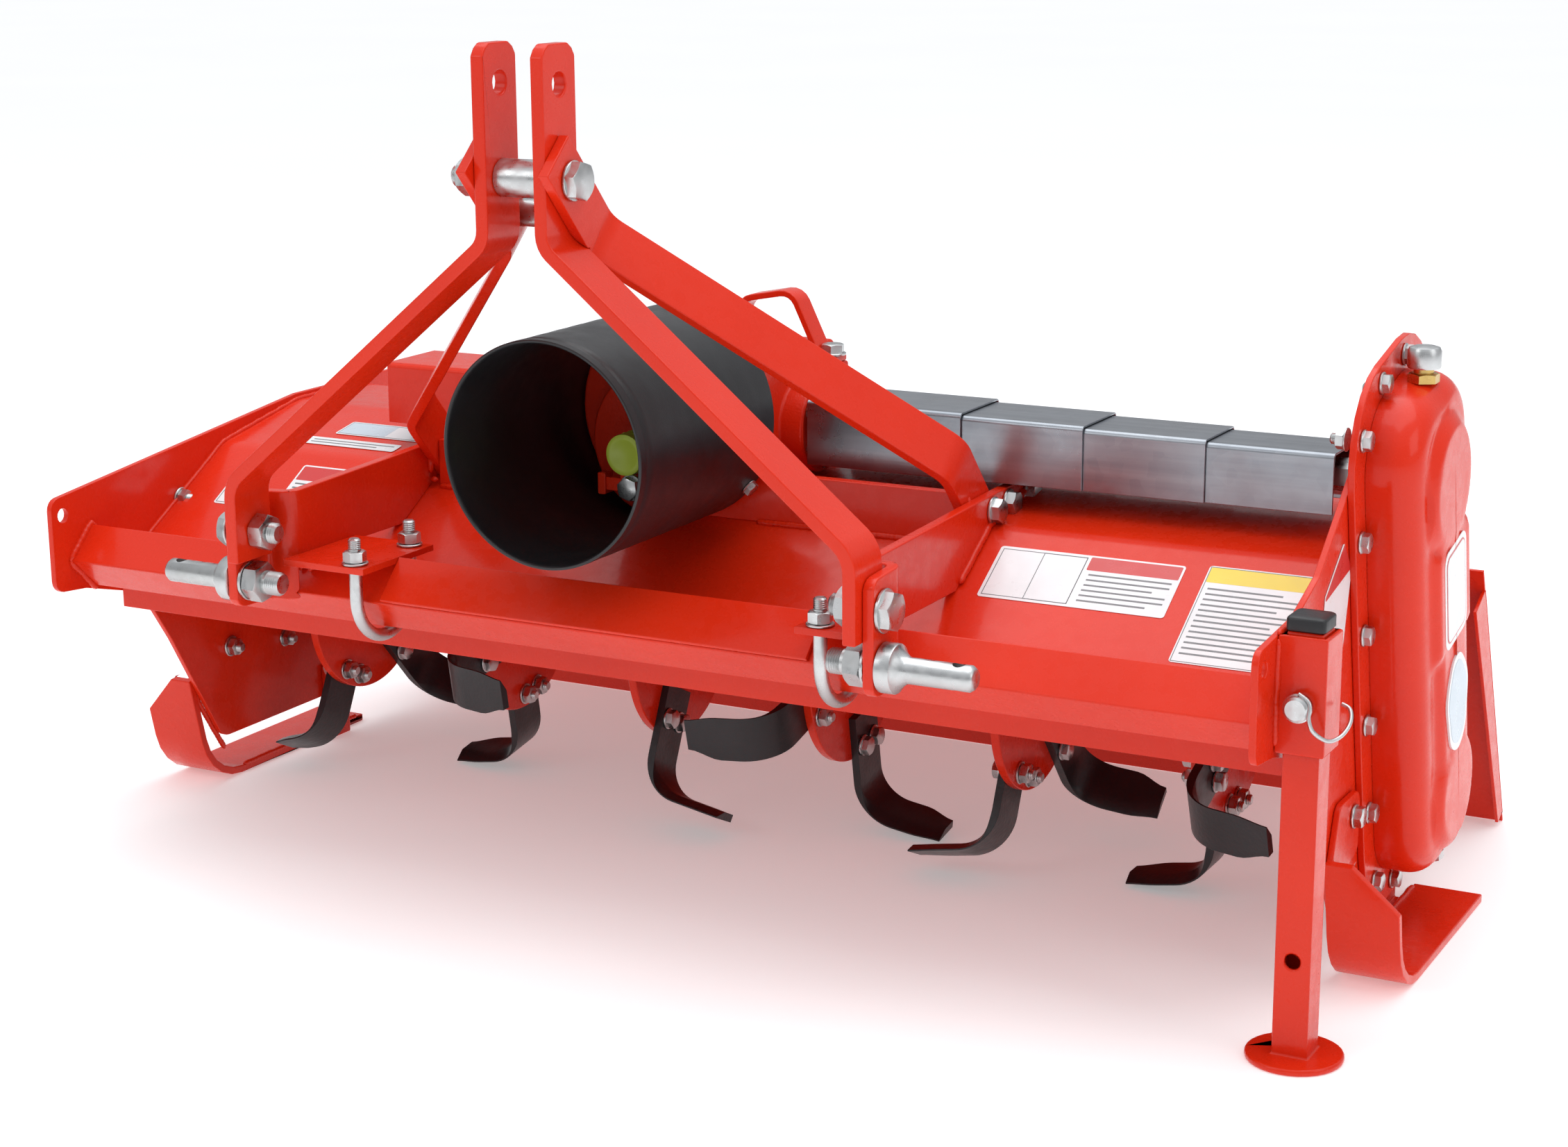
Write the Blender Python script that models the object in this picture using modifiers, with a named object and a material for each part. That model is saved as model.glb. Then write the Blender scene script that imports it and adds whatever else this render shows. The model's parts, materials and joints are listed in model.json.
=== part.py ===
"""Rotary tiller for a three-point hitch, as an assembly of separate pieces.

Frame: metres, +Z up, -Y towards the tractor, +X to the side-drive end.  Sizes are laid
out from the lower hitch pins: X = 0 midway between them, Y = 0 on their axis, and
heights given "over the pin".  At the end everything is shifted so that the world
origin is the middle of the footprint, on the ground.
"""

import math

import bmesh
import bpy
from mathutils import Matrix, Vector

# ---------------------------------------------------------------- driving dimensions
GAP = 0.0003              # left between pieces that touch
FREE = 0.0006             # radial play of a pin in its hole

PIN_HEIGHT = 0.305        # lower hitch pins over the ground
PIN_SHOULDER = 0.3415     # from the middle to each pin's shoulder
PIN_RADIUS = 0.011
PIN_LENGTH = 0.0685       # shoulder to tip
PIN_COLLAR_RADIUS = 0.021
PIN_THREAD_END = 0.279

EAR_OUTER = 0.3275        # outer face of each hitch ear
ARM_PLATE = 0.010         # thickness of the bent ear-and-arm plate
ARM_OUTER = 0.300         # outer face of each arm behind its ear
ARM_TOP = 0.075           # over the pin
ARM_BOTTOM = 0.014
EAR_BOTTOM = -0.024
ARM_REAR = 0.388
EAR_FRONT = -0.018
ARM_SET_BACK = 0.036      # where the ear turns inward

MAST_TOP = 0.490
TOP_HOLE = 0.457
MAST_BOLT_Z = 0.379
MAST_BOLT_Y = -0.005
STRAP_THICK = 0.012
STRAP_WIDTH = 0.050
STRAP_SPREAD = 0.046      # clear gap between the straps at the top
STRAP_BEND_HIGH = 0.326
STRAP_BEND_LOW = 0.095
STRAP_BOTTOM = 0.022
TOP_HOLE_RADIUS = 0.010
BOLT_RADIUS = 0.010
EAR_BOLT_Z = 0.047

BRACE_THICK = 0.010
BRACE_WIDTH = 0.046
BRACE_LOW_Y = 0.276
BRACE_LOW_Z = 0.070

LEFT_OUTER = -0.575       # outer faces of the side plates
RIGHT_OUTER = 0.636
SIDE_PLATE = 0.006

BEAM_Y = 0.070            # middle of the square front tube, set on edge
BEAM_Z = -0.018
BEAM_HALF = 0.031         # half its diagonal
BEAM_WALL = 0.004

DECK_SHEET = 0.004
DECK_FRONT = BEAM_Y + BEAM_HALF + 0.011      # room behind the tube for the U-bolts
DECK_LIP = (DECK_FRONT, -0.080)
DECK_BROW = (DECK_FRONT, -0.042)
DECK_CREASE = (0.275, 0.056)
DECK_BACK = (0.400, 0.080)
DECK_CROWN = (0.520, 0.080)
DECK_REAR = (0.5935, -0.0055)

SHAFT_Y = 0.346           # cross shaft and input shaft height and place
SHAFT_Z = 0.119
CROSS_RADIUS = 0.015
INPUT_RADIUS = 0.0175
SHIELD_RADIUS = 0.100
SHIELD_WALL = 0.004
SHIELD_Z = SHAFT_Z + 0.024
SHIELD_FRONT = 0.005
SHIELD_REAR = 0.240

COVER_HALF = 0.0435       # half the depth of the widest cover segment
COVER_TOP = SHAFT_Z + 0.032
COVER_BOTTOM = SHAFT_Z - 0.029
COVER_SHEET = 0.002
COVER_STEP = 0.0026       # each segment is this much smaller than the last
COVER_ENDS = (0.100, 0.256, 0.373, 0.486, 0.600)
COVER_LAP = 0.022
BOX_LEFT = -0.376         # left end of the fixed box on the gearbox

ROTOR_Y = 0.403
ROTOR_Z = -0.130
ROTOR_TUBE = 0.038
FLANGE_RADIUS = 0.095
FLANGE_THICK = 0.009
TINE_REACH = 0.171
TINE_WIDTH = 0.046
TINE_THICK = 0.008
TINE_BLADE = 0.084
TINE_SHORT = 0.052        # blades beside the left plate
FLANGE_FIRST = -0.490
FLANGE_STEP = 0.195
# degrees back from straight down to each set's first left-hand and right-hand tine
TINE_TURNS = ((-26, 42), (10, -80), (-115, -25), (-76, 10), (-24, 40), (0, -70))

CASE_HALF = 0.097         # bolt line of the side drive, either side of its middle
CASE_RIM = 0.014
CASE_FLANGE = 0.006
CASE_DEPTH = 0.053
CASE_HEAD = 0.116         # from the shaft up to the case's top edge
CASE_FOOT = 0.138         # from the rotor's axis down to its bottom edge

STAND_TUBE = 0.030
STAND_WALL = 0.0045
STAND_PLAY = 0.0005       # round the leg inside its sleeve
STAND_SLEEVE = STAND_TUBE + 2 * (STAND_WALL + STAND_PLAY)
STAND_Y = 0.082
SLEEVE_TOP = 0.050
SLEEVE_LENGTH = 0.096
STAND_CAP_TOP = 0.064
STAND_PAD_RADIUS = 0.040
STAND_PAD_THICK = 0.006
STAND_STEP = 0.213        # from the pin in use to the stowing hole
STAND_PIN_RADIUS = 0.006

SKID_WIDTH = 0.064
SKID_THICK = 0.008
SKID_FRONT = (0.212, -0.184)
SKID_TOE = 0.238
SKID_HEEL = 0.500

TAIL_AXIS = (0.600, -0.010)
TAIL_ROD = 0.005
TAIL_LEAN = 25.0          # degrees, trailing on the ground
TAIL_KNUCKLE = 0.0095
TAIL_SHEET = 0.003
TAIL_SIDE = 0.034
TAIL_OVERHANG = 0.024
TAIL_KNUCKLES = (-0.500, -0.250, 0.030, 0.310, 0.560)
HOOD_KNUCKLES = (-0.555, -0.375, -0.110, 0.170, 0.435, 0.612)

RED = (0.80, 0.060, 0.014)
ZINC = (0.62, 0.64, 0.66)
GALVANISED = (0.56, 0.58, 0.60)
BLACK = (0.018, 0.018, 0.020)
LIME = (0.42, 0.52, 0.06)


# ---------------------------------------------------------------- tools
def clear_scene():
    for obj in list(bpy.data.objects):
        bpy.data.objects.remove(obj, do_unlink=True)


def new_collection(name):
    group = bpy.data.collections.new(name)
    bpy.context.scene.collection.children.link(group)
    return group


clear_scene()
PARTS = new_collection("rotary_tiller")
CUTTERS = new_collection("cutters")


def material(name, colour, roughness, metallic):
    mat = bpy.data.materials.new(name)
    mat.use_nodes = True
    shader = mat.node_tree.nodes["Principled BSDF"]
    shader.inputs["Base Color"].default_value = (*colour, 1.0)
    shader.inputs["Roughness"].default_value = roughness
    shader.inputs["Metallic"].default_value = metallic
    return mat


FINISH = {
    "red": (RED, 0.28, 0.0),
    "zinc": (ZINC, 0.25, 1.0),
    "galvanised": (GALVANISED, 0.35, 1.0),
    "black": (BLACK, 0.40, 0.0),
    "lime": (LIME, 0.50, 0.0),
}


def adopt(bm_or_mesh, name, finish):
    """Put a mesh into the model as the node NAME, with its own material."""
    if isinstance(bm_or_mesh, bmesh.types.BMesh):
        mesh = bpy.data.meshes.new(name)
        bm_or_mesh.to_mesh(mesh)
        bm_or_mesh.free()
    else:
        mesh = bm_or_mesh
        mesh.name = name
    obj = bpy.data.objects.new(name, mesh)
    if finish is None:
        CUTTERS.objects.link(obj)
        obj.hide_render = True
        obj.display_type = "WIRE"
        return obj
    PARTS.objects.link(obj)
    mesh.materials.clear()
    mesh.materials.append(material(name, *FINISH[finish]))
    mesh.shade_smooth()
    mesh.set_sharp_from_angle(angle=math.radians(30))
    return obj


def z_of(over_pin):
    return PIN_HEIGHT + over_pin


def box(name, finish, x, y, z):
    """A block between the limits x, y and z, heights measured over the pin."""
    size = Vector((x[1] - x[0], y[1] - y[0], z[1] - z[0]))
    middle = Vector((sum(x) / 2, sum(y) / 2, z_of(sum(z) / 2)))
    bm = bmesh.new()
    bmesh.ops.create_cube(bm, size=1.0)
    bmesh.ops.scale(bm, vec=size, verts=bm.verts)
    bmesh.ops.translate(bm, vec=middle, verts=bm.verts)
    return adopt(bm, name, finish)


def rod(name, finish, start, end, radius, sides=16, tip=None, turn=0.0):
    """A cylinder, cone or hexagon from start to end, both (x, y, height over the pin)."""
    a = Vector((start[0], start[1], z_of(start[2])))
    b = Vector((end[0], end[1], z_of(end[2])))
    bm = bmesh.new()
    bmesh.ops.create_cone(bm, cap_ends=True, segments=sides, radius1=radius,
                          radius2=radius if tip is None else tip, depth=(b - a).length)
    spin = Matrix.Rotation(math.radians(turn), 4, "Z")
    place = (b - a).to_track_quat("Z", "Y").to_matrix().to_4x4()
    bmesh.ops.transform(bm, matrix=Matrix.Translation((a + b) / 2) @ place @ spin,
                        verts=bm.verts)
    return adopt(bm, name, finish)


def turned(name, finish, start, direction, profile, sides=24):
    """A solid of revolution about the line through start; profile is (along, radius)."""
    bm = bmesh.new()
    rings = []
    for along, radius in profile:
        ring = [bm.verts.new((radius * math.cos(a), radius * math.sin(a), along))
                for a in (2 * math.pi * k / sides for k in range(sides))]
        rings.append(ring)
    for low, high in zip(rings, rings[1:]):
        for k in range(sides):
            j = (k + 1) % sides
            bm.faces.new((low[k], low[j], high[j], high[k]))
    bm.faces.new(rings[0][::-1])
    bm.faces.new(rings[-1])
    bmesh.ops.recalc_face_normals(bm, faces=bm.faces)
    place = direction.to_track_quat("Z", "Y").to_matrix().to_4x4()
    origin = Vector((start[0], start[1], z_of(start[2])))
    bmesh.ops.transform(bm, matrix=Matrix.Translation(origin) @ place, verts=bm.verts)
    return adopt(bm, name, finish)


def rounded(points, steps=4):
    """Replace each corner (u, v, r) of a closed outline by an arc of radius r."""
    result = []
    count = len(points)
    for i, point in enumerate(points):
        if len(point) == 2 or point[2] <= 0:
            result.append(Vector(point[:2]))
            continue
        here = Vector(point[:2])
        to_last = (Vector(points[i - 1][:2]) - here).normalized()
        to_next = (Vector(points[(i + 1) % count][:2]) - here).normalized()
        result += arc_between(here, to_last, to_next, point[2], steps)
    return result


def arc_between(corner, to_last, to_next, radius, steps):
    half = to_last.angle(to_next) / 2
    reach = radius / math.tan(half)
    middle = corner + (to_last + to_next).normalized() * (radius / math.sin(half))
    first = corner + to_last * reach - middle
    last = corner + to_next * reach - middle
    sweep = first.angle_signed(last)
    return [middle + Matrix.Rotation(-sweep * k / steps, 2) @ first
            for k in range(steps + 1)]


def bent(path, thickness, steps=4):
    """Outline of a sheet of this thickness bent along a centre line.

    A path point is (u, v) or (u, v, r) with r the bend radius of the centre line.
    """
    line = []
    for i, point in enumerate(path):
        here = Vector(point[:2])
        if 0 < i < len(path) - 1 and len(point) == 3:
            to_last = (Vector(path[i - 1][:2]) - here).normalized()
            to_next = (Vector(path[i + 1][:2]) - here).normalized()
            line += arc_between(here, to_last, to_next, point[2], steps)
        else:
            line.append(here)
    left, right = [], []
    for i, here in enumerate(line):
        ahead = (line[min(i + 1, len(line) - 1)] - here)
        behind = (here - line[max(i - 1, 0)])
        runs = [run.normalized() for run in (behind, ahead) if run.length > 1e-9]
        along = sum(runs, Vector((0, 0))).normalized()
        across = Vector((-along.y, along.x))
        stretch = 1 / max(along.dot(runs[0]), 0.3)
        left.append(here + across * (thickness / 2 * stretch))
        right.append(here - across * (thickness / 2 * stretch))
    return left + right[::-1]


AXES = {
    "X": (Vector((0, 1, 0)), Vector((0, 0, 1))),
    "Y": (Vector((1, 0, 0)), Vector((0, 0, 1))),
    "Z": (Vector((1, 0, 0)), Vector((0, 1, 0))),
}


def prism(name, finish, outline, axis, low, high, u_dir=None, v_dir=None, start=None):
    """Extrude a flat outline from low to high along an axis, as a filled curve.

    Outlines are (Y, Z) along X, (X, Z) along Y and (X, Y) along Z, with Z over the pin.
    u_dir, v_dir and start set any other plane.
    """
    u, v = (AXES[axis] if u_dir is None else (u_dir, v_dir))
    normal = u.cross(v)
    curve = bpy.data.curves.new(name, "CURVE")
    curve.dimensions = "2D"
    curve.fill_mode = "BOTH"
    curve.extrude = abs(high - low) / 2
    spline = curve.splines.new("POLY")
    spline.use_cyclic_u = True
    spline.points.add(len(outline) - 1)
    for point, (a, b) in zip(spline.points, outline):
        point.co = (a, b, 0, 1)
    guide = bpy.data.objects.new(name + "_outline", curve)
    CUTTERS.objects.link(guide)
    base = Matrix((u, v, normal)).transposed().to_4x4()
    if start is None:
        start = Vector((0, 0, PIN_HEIGHT))
        unit = {"X": Vector((1, 0, 0)), "Y": Vector((0, 1, 0)), "Z": Vector((0, 0, 1))}
        start = start + unit[axis] * ((low + high) / 2)
    guide.matrix_world = Matrix.Translation(start) @ base
    bpy.context.view_layer.update()
    graph = bpy.context.evaluated_depsgraph_get()
    mesh = bpy.data.meshes.new_from_object(guide.evaluated_get(graph))
    mesh.transform(guide.matrix_world)
    bpy.data.objects.remove(guide, do_unlink=True)
    bm = bmesh.new()
    bm.from_mesh(mesh)
    bmesh.ops.remove_doubles(bm, verts=bm.verts, dist=1e-6)
    bmesh.ops.recalc_face_normals(bm, faces=bm.faces)
    bm.to_mesh(mesh)
    bm.free()
    return adopt(mesh, name, finish)


def boolean(target, operation, tools):
    for tool in tools:
        modifier = target.modifiers.new(operation.lower() + "_" + tool.name, "BOOLEAN")
        modifier.operation = operation
        modifier.solver = "EXACT"
        modifier.object = tool
    return target


def cut(target, *tools):
    return boolean(target, "DIFFERENCE", tools)


def join(target, *tools):
    return boolean(target, "UNION", tools)


def trim(target, *tools):
    return boolean(target, "INTERSECT", tools)


def deck_top(y, clearance=GAP):
    """Height over the pin of the deck's upper face at y, plus a clearance."""
    line = (DECK_BROW, DECK_CREASE, DECK_BACK, DECK_CROWN, DECK_REAR)
    for (y0, z0), (y1, z1) in zip(line, line[1:]):
        if y <= y1:
            slope = (z1 - z0) / (y1 - y0)
            lift = DECK_SHEET / 2 * math.hypot(1, slope)
            return z0 + slope * (y - y0) + lift + clearance
    return line[-1][1] + clearance


def diamond(grow=0.0):
    half = BEAM_HALF + grow
    return [(BEAM_Y - half, BEAM_Z), (BEAM_Y, BEAM_Z - half),
            (BEAM_Y + half, BEAM_Z), (BEAM_Y, BEAM_Z + half)]


# ---------------------------------------------------------------- frame and hood
X_LEFT = LEFT_OUTER + SIDE_PLATE + GAP      # room between the side plates
X_RIGHT = RIGHT_OUTER - SIDE_PLATE - GAP

NOSE = [(0.018, 0.045, 0.012), (0.018, -0.046, 0.012), (0.060, -0.050, 0.020),
        (0.140, -0.072, 0.020), (0.179, -0.131), (0.250, -0.255, 0.020),
        (0.540, -0.255, 0.030), (0.575, -0.120, 0.040)]


def side_plates():
    left = NOSE + [(0.590, 0.040), (0.590, 0.088, 0.010), (0.400, 0.088)]
    right = NOSE + [(0.590, 0.040), (0.590, 0.088, 0.014), (0.520, 0.100, 0.040),
                    (0.430, SHAFT_Z + 0.077, 0.040), (0.370, SHAFT_Z + 0.117, 0.012), (0.165, 0.072, 0.020),
                    (0.110, 0.052)]
    plates = [
        prism("side_plate_left", "red", rounded(left), "X", LEFT_OUTER,
              LEFT_OUTER + SIDE_PLATE),
        prism("side_plate_right", "red", rounded(right), "X", RIGHT_OUTER - SIDE_PLATE,
              RIGHT_OUTER),
    ]
    for plate, x in zip(plates, (LEFT_OUTER, RIGHT_OUTER)):
        span = (x - 0.02, x + 0.02)
        holes = [
            rod("nose_hole", None, (span[0], 0.034, 0.028), (span[1], 0.034, 0.028), 0.007),
            rod("rotor_hole", None, (span[0], ROTOR_Y, ROTOR_Z),
                (span[1], ROTOR_Y, ROTOR_Z), ROTOR_TUBE + 0.006, 24),
        ]
        if x > 0:
            holes.append(rod("shaft_hole", None, (span[0], SHAFT_Y, SHAFT_Z),
                             (span[1], SHAFT_Y, SHAFT_Z), CROSS_RADIUS + 0.012, 24))
        cut(plate, *holes)


def front_beam():
    beam = prism("front_beam", "red", diamond(), "X", X_LEFT, X_RIGHT)
    cut(beam, prism("beam_bore", None, diamond(-BEAM_WALL * math.sqrt(2)), "X",
                    X_LEFT - 0.01, X_RIGHT + 0.01))


def deck():
    path = [DECK_LIP, (*DECK_BROW, 0.012), (*DECK_CREASE, 0.040), (*DECK_BACK, 0.060),
            (*DECK_CROWN, 0.025), DECK_REAR]
    hood = prism("hood", "red", bent(path, DECK_SHEET), "X", X_LEFT, X_RIGHT)
    for x in HOOD_KNUCKLES:
        join(hood, rod("knuckle", None, (x - 0.015, *TAIL_AXIS), (x + 0.015, *TAIL_AXIS),
                       TAIL_KNUCKLE, 16))
    cut(hood, rod("rod_bore", None, (LEFT_OUTER, *TAIL_AXIS), (RIGHT_OUTER, *TAIL_AXIS),
                  TAIL_ROD + FREE, 12),
        *[rod("knuckle_way", None, (x - 0.033, *TAIL_AXIS), (x + 0.033, *TAIL_AXIS),
              TAIL_KNUCKLE + 0.002, 16) for x in TAIL_KNUCKLES])


# ---------------------------------------------------------------- hitch
def mirrored(make):
    for side, name in ((1, "right"), (-1, "left")):
        make(side, name)


def hitch_arm(side, name):
    ear = EAR_OUTER - ARM_PLATE / 2
    arm = ARM_OUTER - ARM_PLATE / 2
    path = [(side * ear, EAR_FRONT), (side * ear, ARM_SET_BACK, 0.012),
            (side * arm, ARM_SET_BACK, 0.012), (side * arm, ARM_REAR)]
    plate = prism("hitch_arm_" + name, "red", bent(path, ARM_PLATE), "Z", EAR_BOTTOM - 0.02,
                  ARM_TOP + 0.03)
    fall = (DECK_CREASE[1] - DECK_BROW[1]) / (DECK_CREASE[0] - DECK_BROW[0])
    meets_deck = DECK_CREASE[0] - (deck_top(DECK_CREASE[0]) - ARM_BOTTOM) / fall
    turn = ARM_SET_BACK + ARM_PLATE / 2
    profile = [(EAR_FRONT - 0.001, EAR_BOTTOM, 0.014), (EAR_FRONT - 0.001, ARM_TOP, 0.014),
               (ARM_SET_BACK, ARM_TOP + 0.003), (0.284, 0.086), (ARM_REAR + 0.001, 0.088, 0.008),
               (ARM_REAR + 0.001, deck_top(ARM_REAR)), (DECK_CREASE[0], deck_top(DECK_CREASE[0])),
               (meets_deck, ARM_BOTTOM), (turn, ARM_BOTTOM), (turn, EAR_BOTTOM)]
    limits = sorted((side * (arm - 0.03), side * (ear + 0.03)))
    trim(plate, prism("arm_profile", None, rounded(profile), "X", *limits))
    cut(plate, prism("beam_seat", None, diamond(GAP * 1.5), "X", *limits),
        through(side, 0.0, 0.0, PIN_RADIUS + FREE, ear),
        through(side, 0.0, EAR_BOLT_Z, BOLT_RADIUS + FREE, ear))


def through(side, y, z, radius, x, reach=0.03):
    return rod("bore", None, (side * (x - reach), y, z), (side * (x + reach), y, z), radius)


def strap_path(side):
    top = STRAP_SPREAD / 2 + STRAP_THICK / 2
    low = EAR_OUTER - ARM_PLATE - GAP - STRAP_THICK / 2
    return [(side * top, MAST_TOP), (side * top, STRAP_BEND_HIGH, 0.022),
            (side * low, STRAP_BEND_LOW, 0.030), (side * low, STRAP_BOTTOM)]


def under_deck(clearance):
    """Everything below the deck's upper face, raised by a clearance."""
    ends = (0.150, DECK_CREASE[0], DECK_BACK[0])
    return [(y, deck_top(y, clearance)) for y in ends] + [(DECK_BACK[0], -0.1), (0.150, -0.1)]


def mast_strap(side, name):
    path = strap_path(side)
    top, low = abs(path[0][0]), abs(path[-1][0])
    front = MAST_BOLT_Y - STRAP_WIDTH / 2
    back = MAST_BOLT_Y + STRAP_WIDTH / 2
    strap = prism("mast_strap_" + name, "red", bent(path, STRAP_THICK), "Y", front, back)
    profile = [(front - 0.001, STRAP_BOTTOM - 0.001), (back + 0.001, STRAP_BOTTOM - 0.001),
               (back + 0.001, MAST_TOP + 0.001, 0.018), (front - 0.001, MAST_TOP + 0.001, 0.018)]
    limits = sorted((side * (top - 0.05), side * (low + 0.05)))
    trim(strap, prism("strap_profile", None, rounded(profile), "X", *limits))
    cut(strap, through(side, MAST_BOLT_Y, TOP_HOLE, TOP_HOLE_RADIUS, top),
        through(side, MAST_BOLT_Y, MAST_BOLT_Z, BOLT_RADIUS + FREE, top),
        through(side, 0.0, EAR_BOLT_Z, BOLT_RADIUS + FREE, low))


def rear_brace(side, name):
    """A flat bar beside each mast strap, bent out to the inner face of its arm."""
    top = STRAP_SPREAD / 2 + STRAP_THICK + GAP + BRACE_THICK / 2
    low = ARM_OUTER - ARM_PLATE - GAP - BRACE_THICK / 2
    rise = Vector((0, MAST_BOLT_Y, z_of(MAST_BOLT_Z)))
    run = Vector((0, BRACE_LOW_Y, z_of(BRACE_LOW_Z))) - rise
    length = run.length
    along = run.normalized()
    path = [(-0.030, side * top), (0.070, side * top, 0.030),
            (length - 0.072, side * low, 0.030), (length + 0.022, side * low)]
    out = Vector((1, 0, 0))
    bar = prism("rear_brace_" + name, "red", bent(path, BRACE_THICK), "X",
                -BRACE_WIDTH / 2, BRACE_WIDTH / 2, along, out, rise)
    cut(bar, through(side, MAST_BOLT_Y, MAST_BOLT_Z, BOLT_RADIUS + FREE, top),
        prism("strap_way", None, bent(strap_path(side), STRAP_THICK + 2 * GAP), "Y",
              MAST_BOLT_Y - STRAP_WIDTH / 2 - 0.01, MAST_BOLT_Y + STRAP_WIDTH / 2 + GAP),
        prism("deck_way", None, under_deck(0.001), "X", *sorted((side * (low - 0.03),
                                                               side * (low + 0.03)))))


BRACE_SPACER_Y = 0.040
BRACE_SPACER_Z = 0.345


def bolt(name, x_head, x_nut, y, z, radius, head=0.0125, nut=0.016, across=0.030, stub=0.008,
         finish="zinc"):
    """A hexagon bolt along X, its head's and its nut's inner faces at the given places."""
    way = 1 if x_head > x_nut else -1
    corner = across / math.sqrt(3)
    shank = rod(name, finish, (x_nut - way * (nut + stub), y, z),
                (x_head + way * head / 2, y, z), radius)
    return join(shank,
                rod("head", None, (x_head, y, z), (x_head + way * head, y, z), corner, 6),
                rod("nut", None, (x_nut - way * nut, y, z), (x_nut, y, z), corner, 6))


def hitch_bolts(side, name):
    inner = EAR_OUTER - ARM_PLATE - GAP - STRAP_THICK
    bolt("ear_bolt_" + name, side * (EAR_OUTER + GAP), side * (inner - GAP), 0.0, EAR_BOLT_Z,
         BOLT_RADIUS)


def lower_pin(side, name):
    nut_face = EAR_OUTER - ARM_PLATE - GAP
    tip = PIN_SHOULDER + PIN_LENGTH
    profile = [(PIN_THREAD_END, PIN_RADIUS - 0.001), (PIN_THREAD_END + 0.002, PIN_RADIUS),
               (EAR_OUTER + GAP, PIN_RADIUS), (EAR_OUTER + GAP, PIN_COLLAR_RADIUS),
               (PIN_SHOULDER, PIN_COLLAR_RADIUS), (PIN_SHOULDER + 0.008, PIN_RADIUS),
               (tip - 0.003, PIN_RADIUS), (tip, PIN_RADIUS - 0.002)]
    pin = turned("lower_pin_" + name, "zinc", (0, 0, 0), Vector((side, 0, 0)), profile, 20)
    join(pin, rod("nut", None, (side * (nut_face - 0.019), 0, 0), (side * nut_face, 0, 0),
                  0.0195, 6))
    x_hole = side * (tip - 0.015)
    cut(pin, rod("clip_hole", None, (x_hole, 0, -0.03), (x_hole, 0, 0.03), 0.0055))


def mast_fasteners():
    outside = STRAP_SPREAD / 2 + STRAP_THICK + 2 * GAP + BRACE_THICK
    bolt("mast_bolt", outside, -outside, MAST_BOLT_Y, MAST_BOLT_Z, BOLT_RADIUS)
    tube = rod("mast_spacer", "zinc", (-STRAP_SPREAD / 2 + GAP, MAST_BOLT_Y, MAST_BOLT_Z),
               (STRAP_SPREAD / 2 - GAP, MAST_BOLT_Y, MAST_BOLT_Z), 0.016, 20)
    cut(tube, rod("bore", None, (-0.05, MAST_BOLT_Y, MAST_BOLT_Z),
                  (0.05, MAST_BOLT_Y, MAST_BOLT_Z), BOLT_RADIUS + FREE))
    inner = STRAP_SPREAD / 2 + STRAP_THICK
    rod("brace_spacer", "zinc", (-inner, BRACE_SPACER_Y, BRACE_SPACER_Z),
        (inner, BRACE_SPACER_Y, BRACE_SPACER_Z), 0.012, 16)


# ---------------------------------------------------------------- beam clamp
CLAMP_ROOM = 0.011        # from the tube's corner to the middle of each U-bolt leg
CLAMP_Y = (BEAM_Y - BEAM_HALF - CLAMP_ROOM, BEAM_Y + BEAM_HALF + CLAMP_ROOM)
CLAMP_ROD = 0.006
CLAMP_PLATE = 0.006
CLAMP_X = (-0.218, 0.256)
CLAMP_END = 0.018         # from each U-bolt to its plate's inner edge
ANGLE_LEG = 0.045
ANGLE_SHEET = 0.004


def beam_clamps():
    top = BEAM_Z + BEAM_HALF + GAP
    inner = ARM_OUTER - ARM_PLATE - GAP
    for side, name, x in ((-1, "left", CLAMP_X[0]), (1, "right", CLAMP_X[1])):
        limits = sorted((side * inner, x - side * CLAMP_END))
        plate = box("clamp_plate_" + name, "red", limits,
                    (CLAMP_Y[0] - 0.013, CLAMP_Y[1] + 0.013), (top, top + CLAMP_PLATE))
        cut(plate, *[rod("bore", None, (x, y, top - 0.01), (x, y, top + 0.02),
                         CLAMP_ROD + FREE) for y in CLAMP_Y])
        u_bolt(name, x, top + CLAMP_PLATE + GAP)
    low, high = (CLAMP_X[0] + CLAMP_END + GAP, CLAMP_X[1] - CLAMP_END - GAP)
    reach = ANGLE_LEG / math.sqrt(2)
    lift = ANGLE_SHEET / math.sqrt(2) + 0.0006
    peak = BEAM_Z + BEAM_HALF + lift
    path = [(BEAM_Y - reach, peak - reach), (BEAM_Y, peak), (BEAM_Y + reach, peak - reach)]
    prism("clamp_angle", "red", bent(path, ANGLE_SHEET), "X", low, high)


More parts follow.
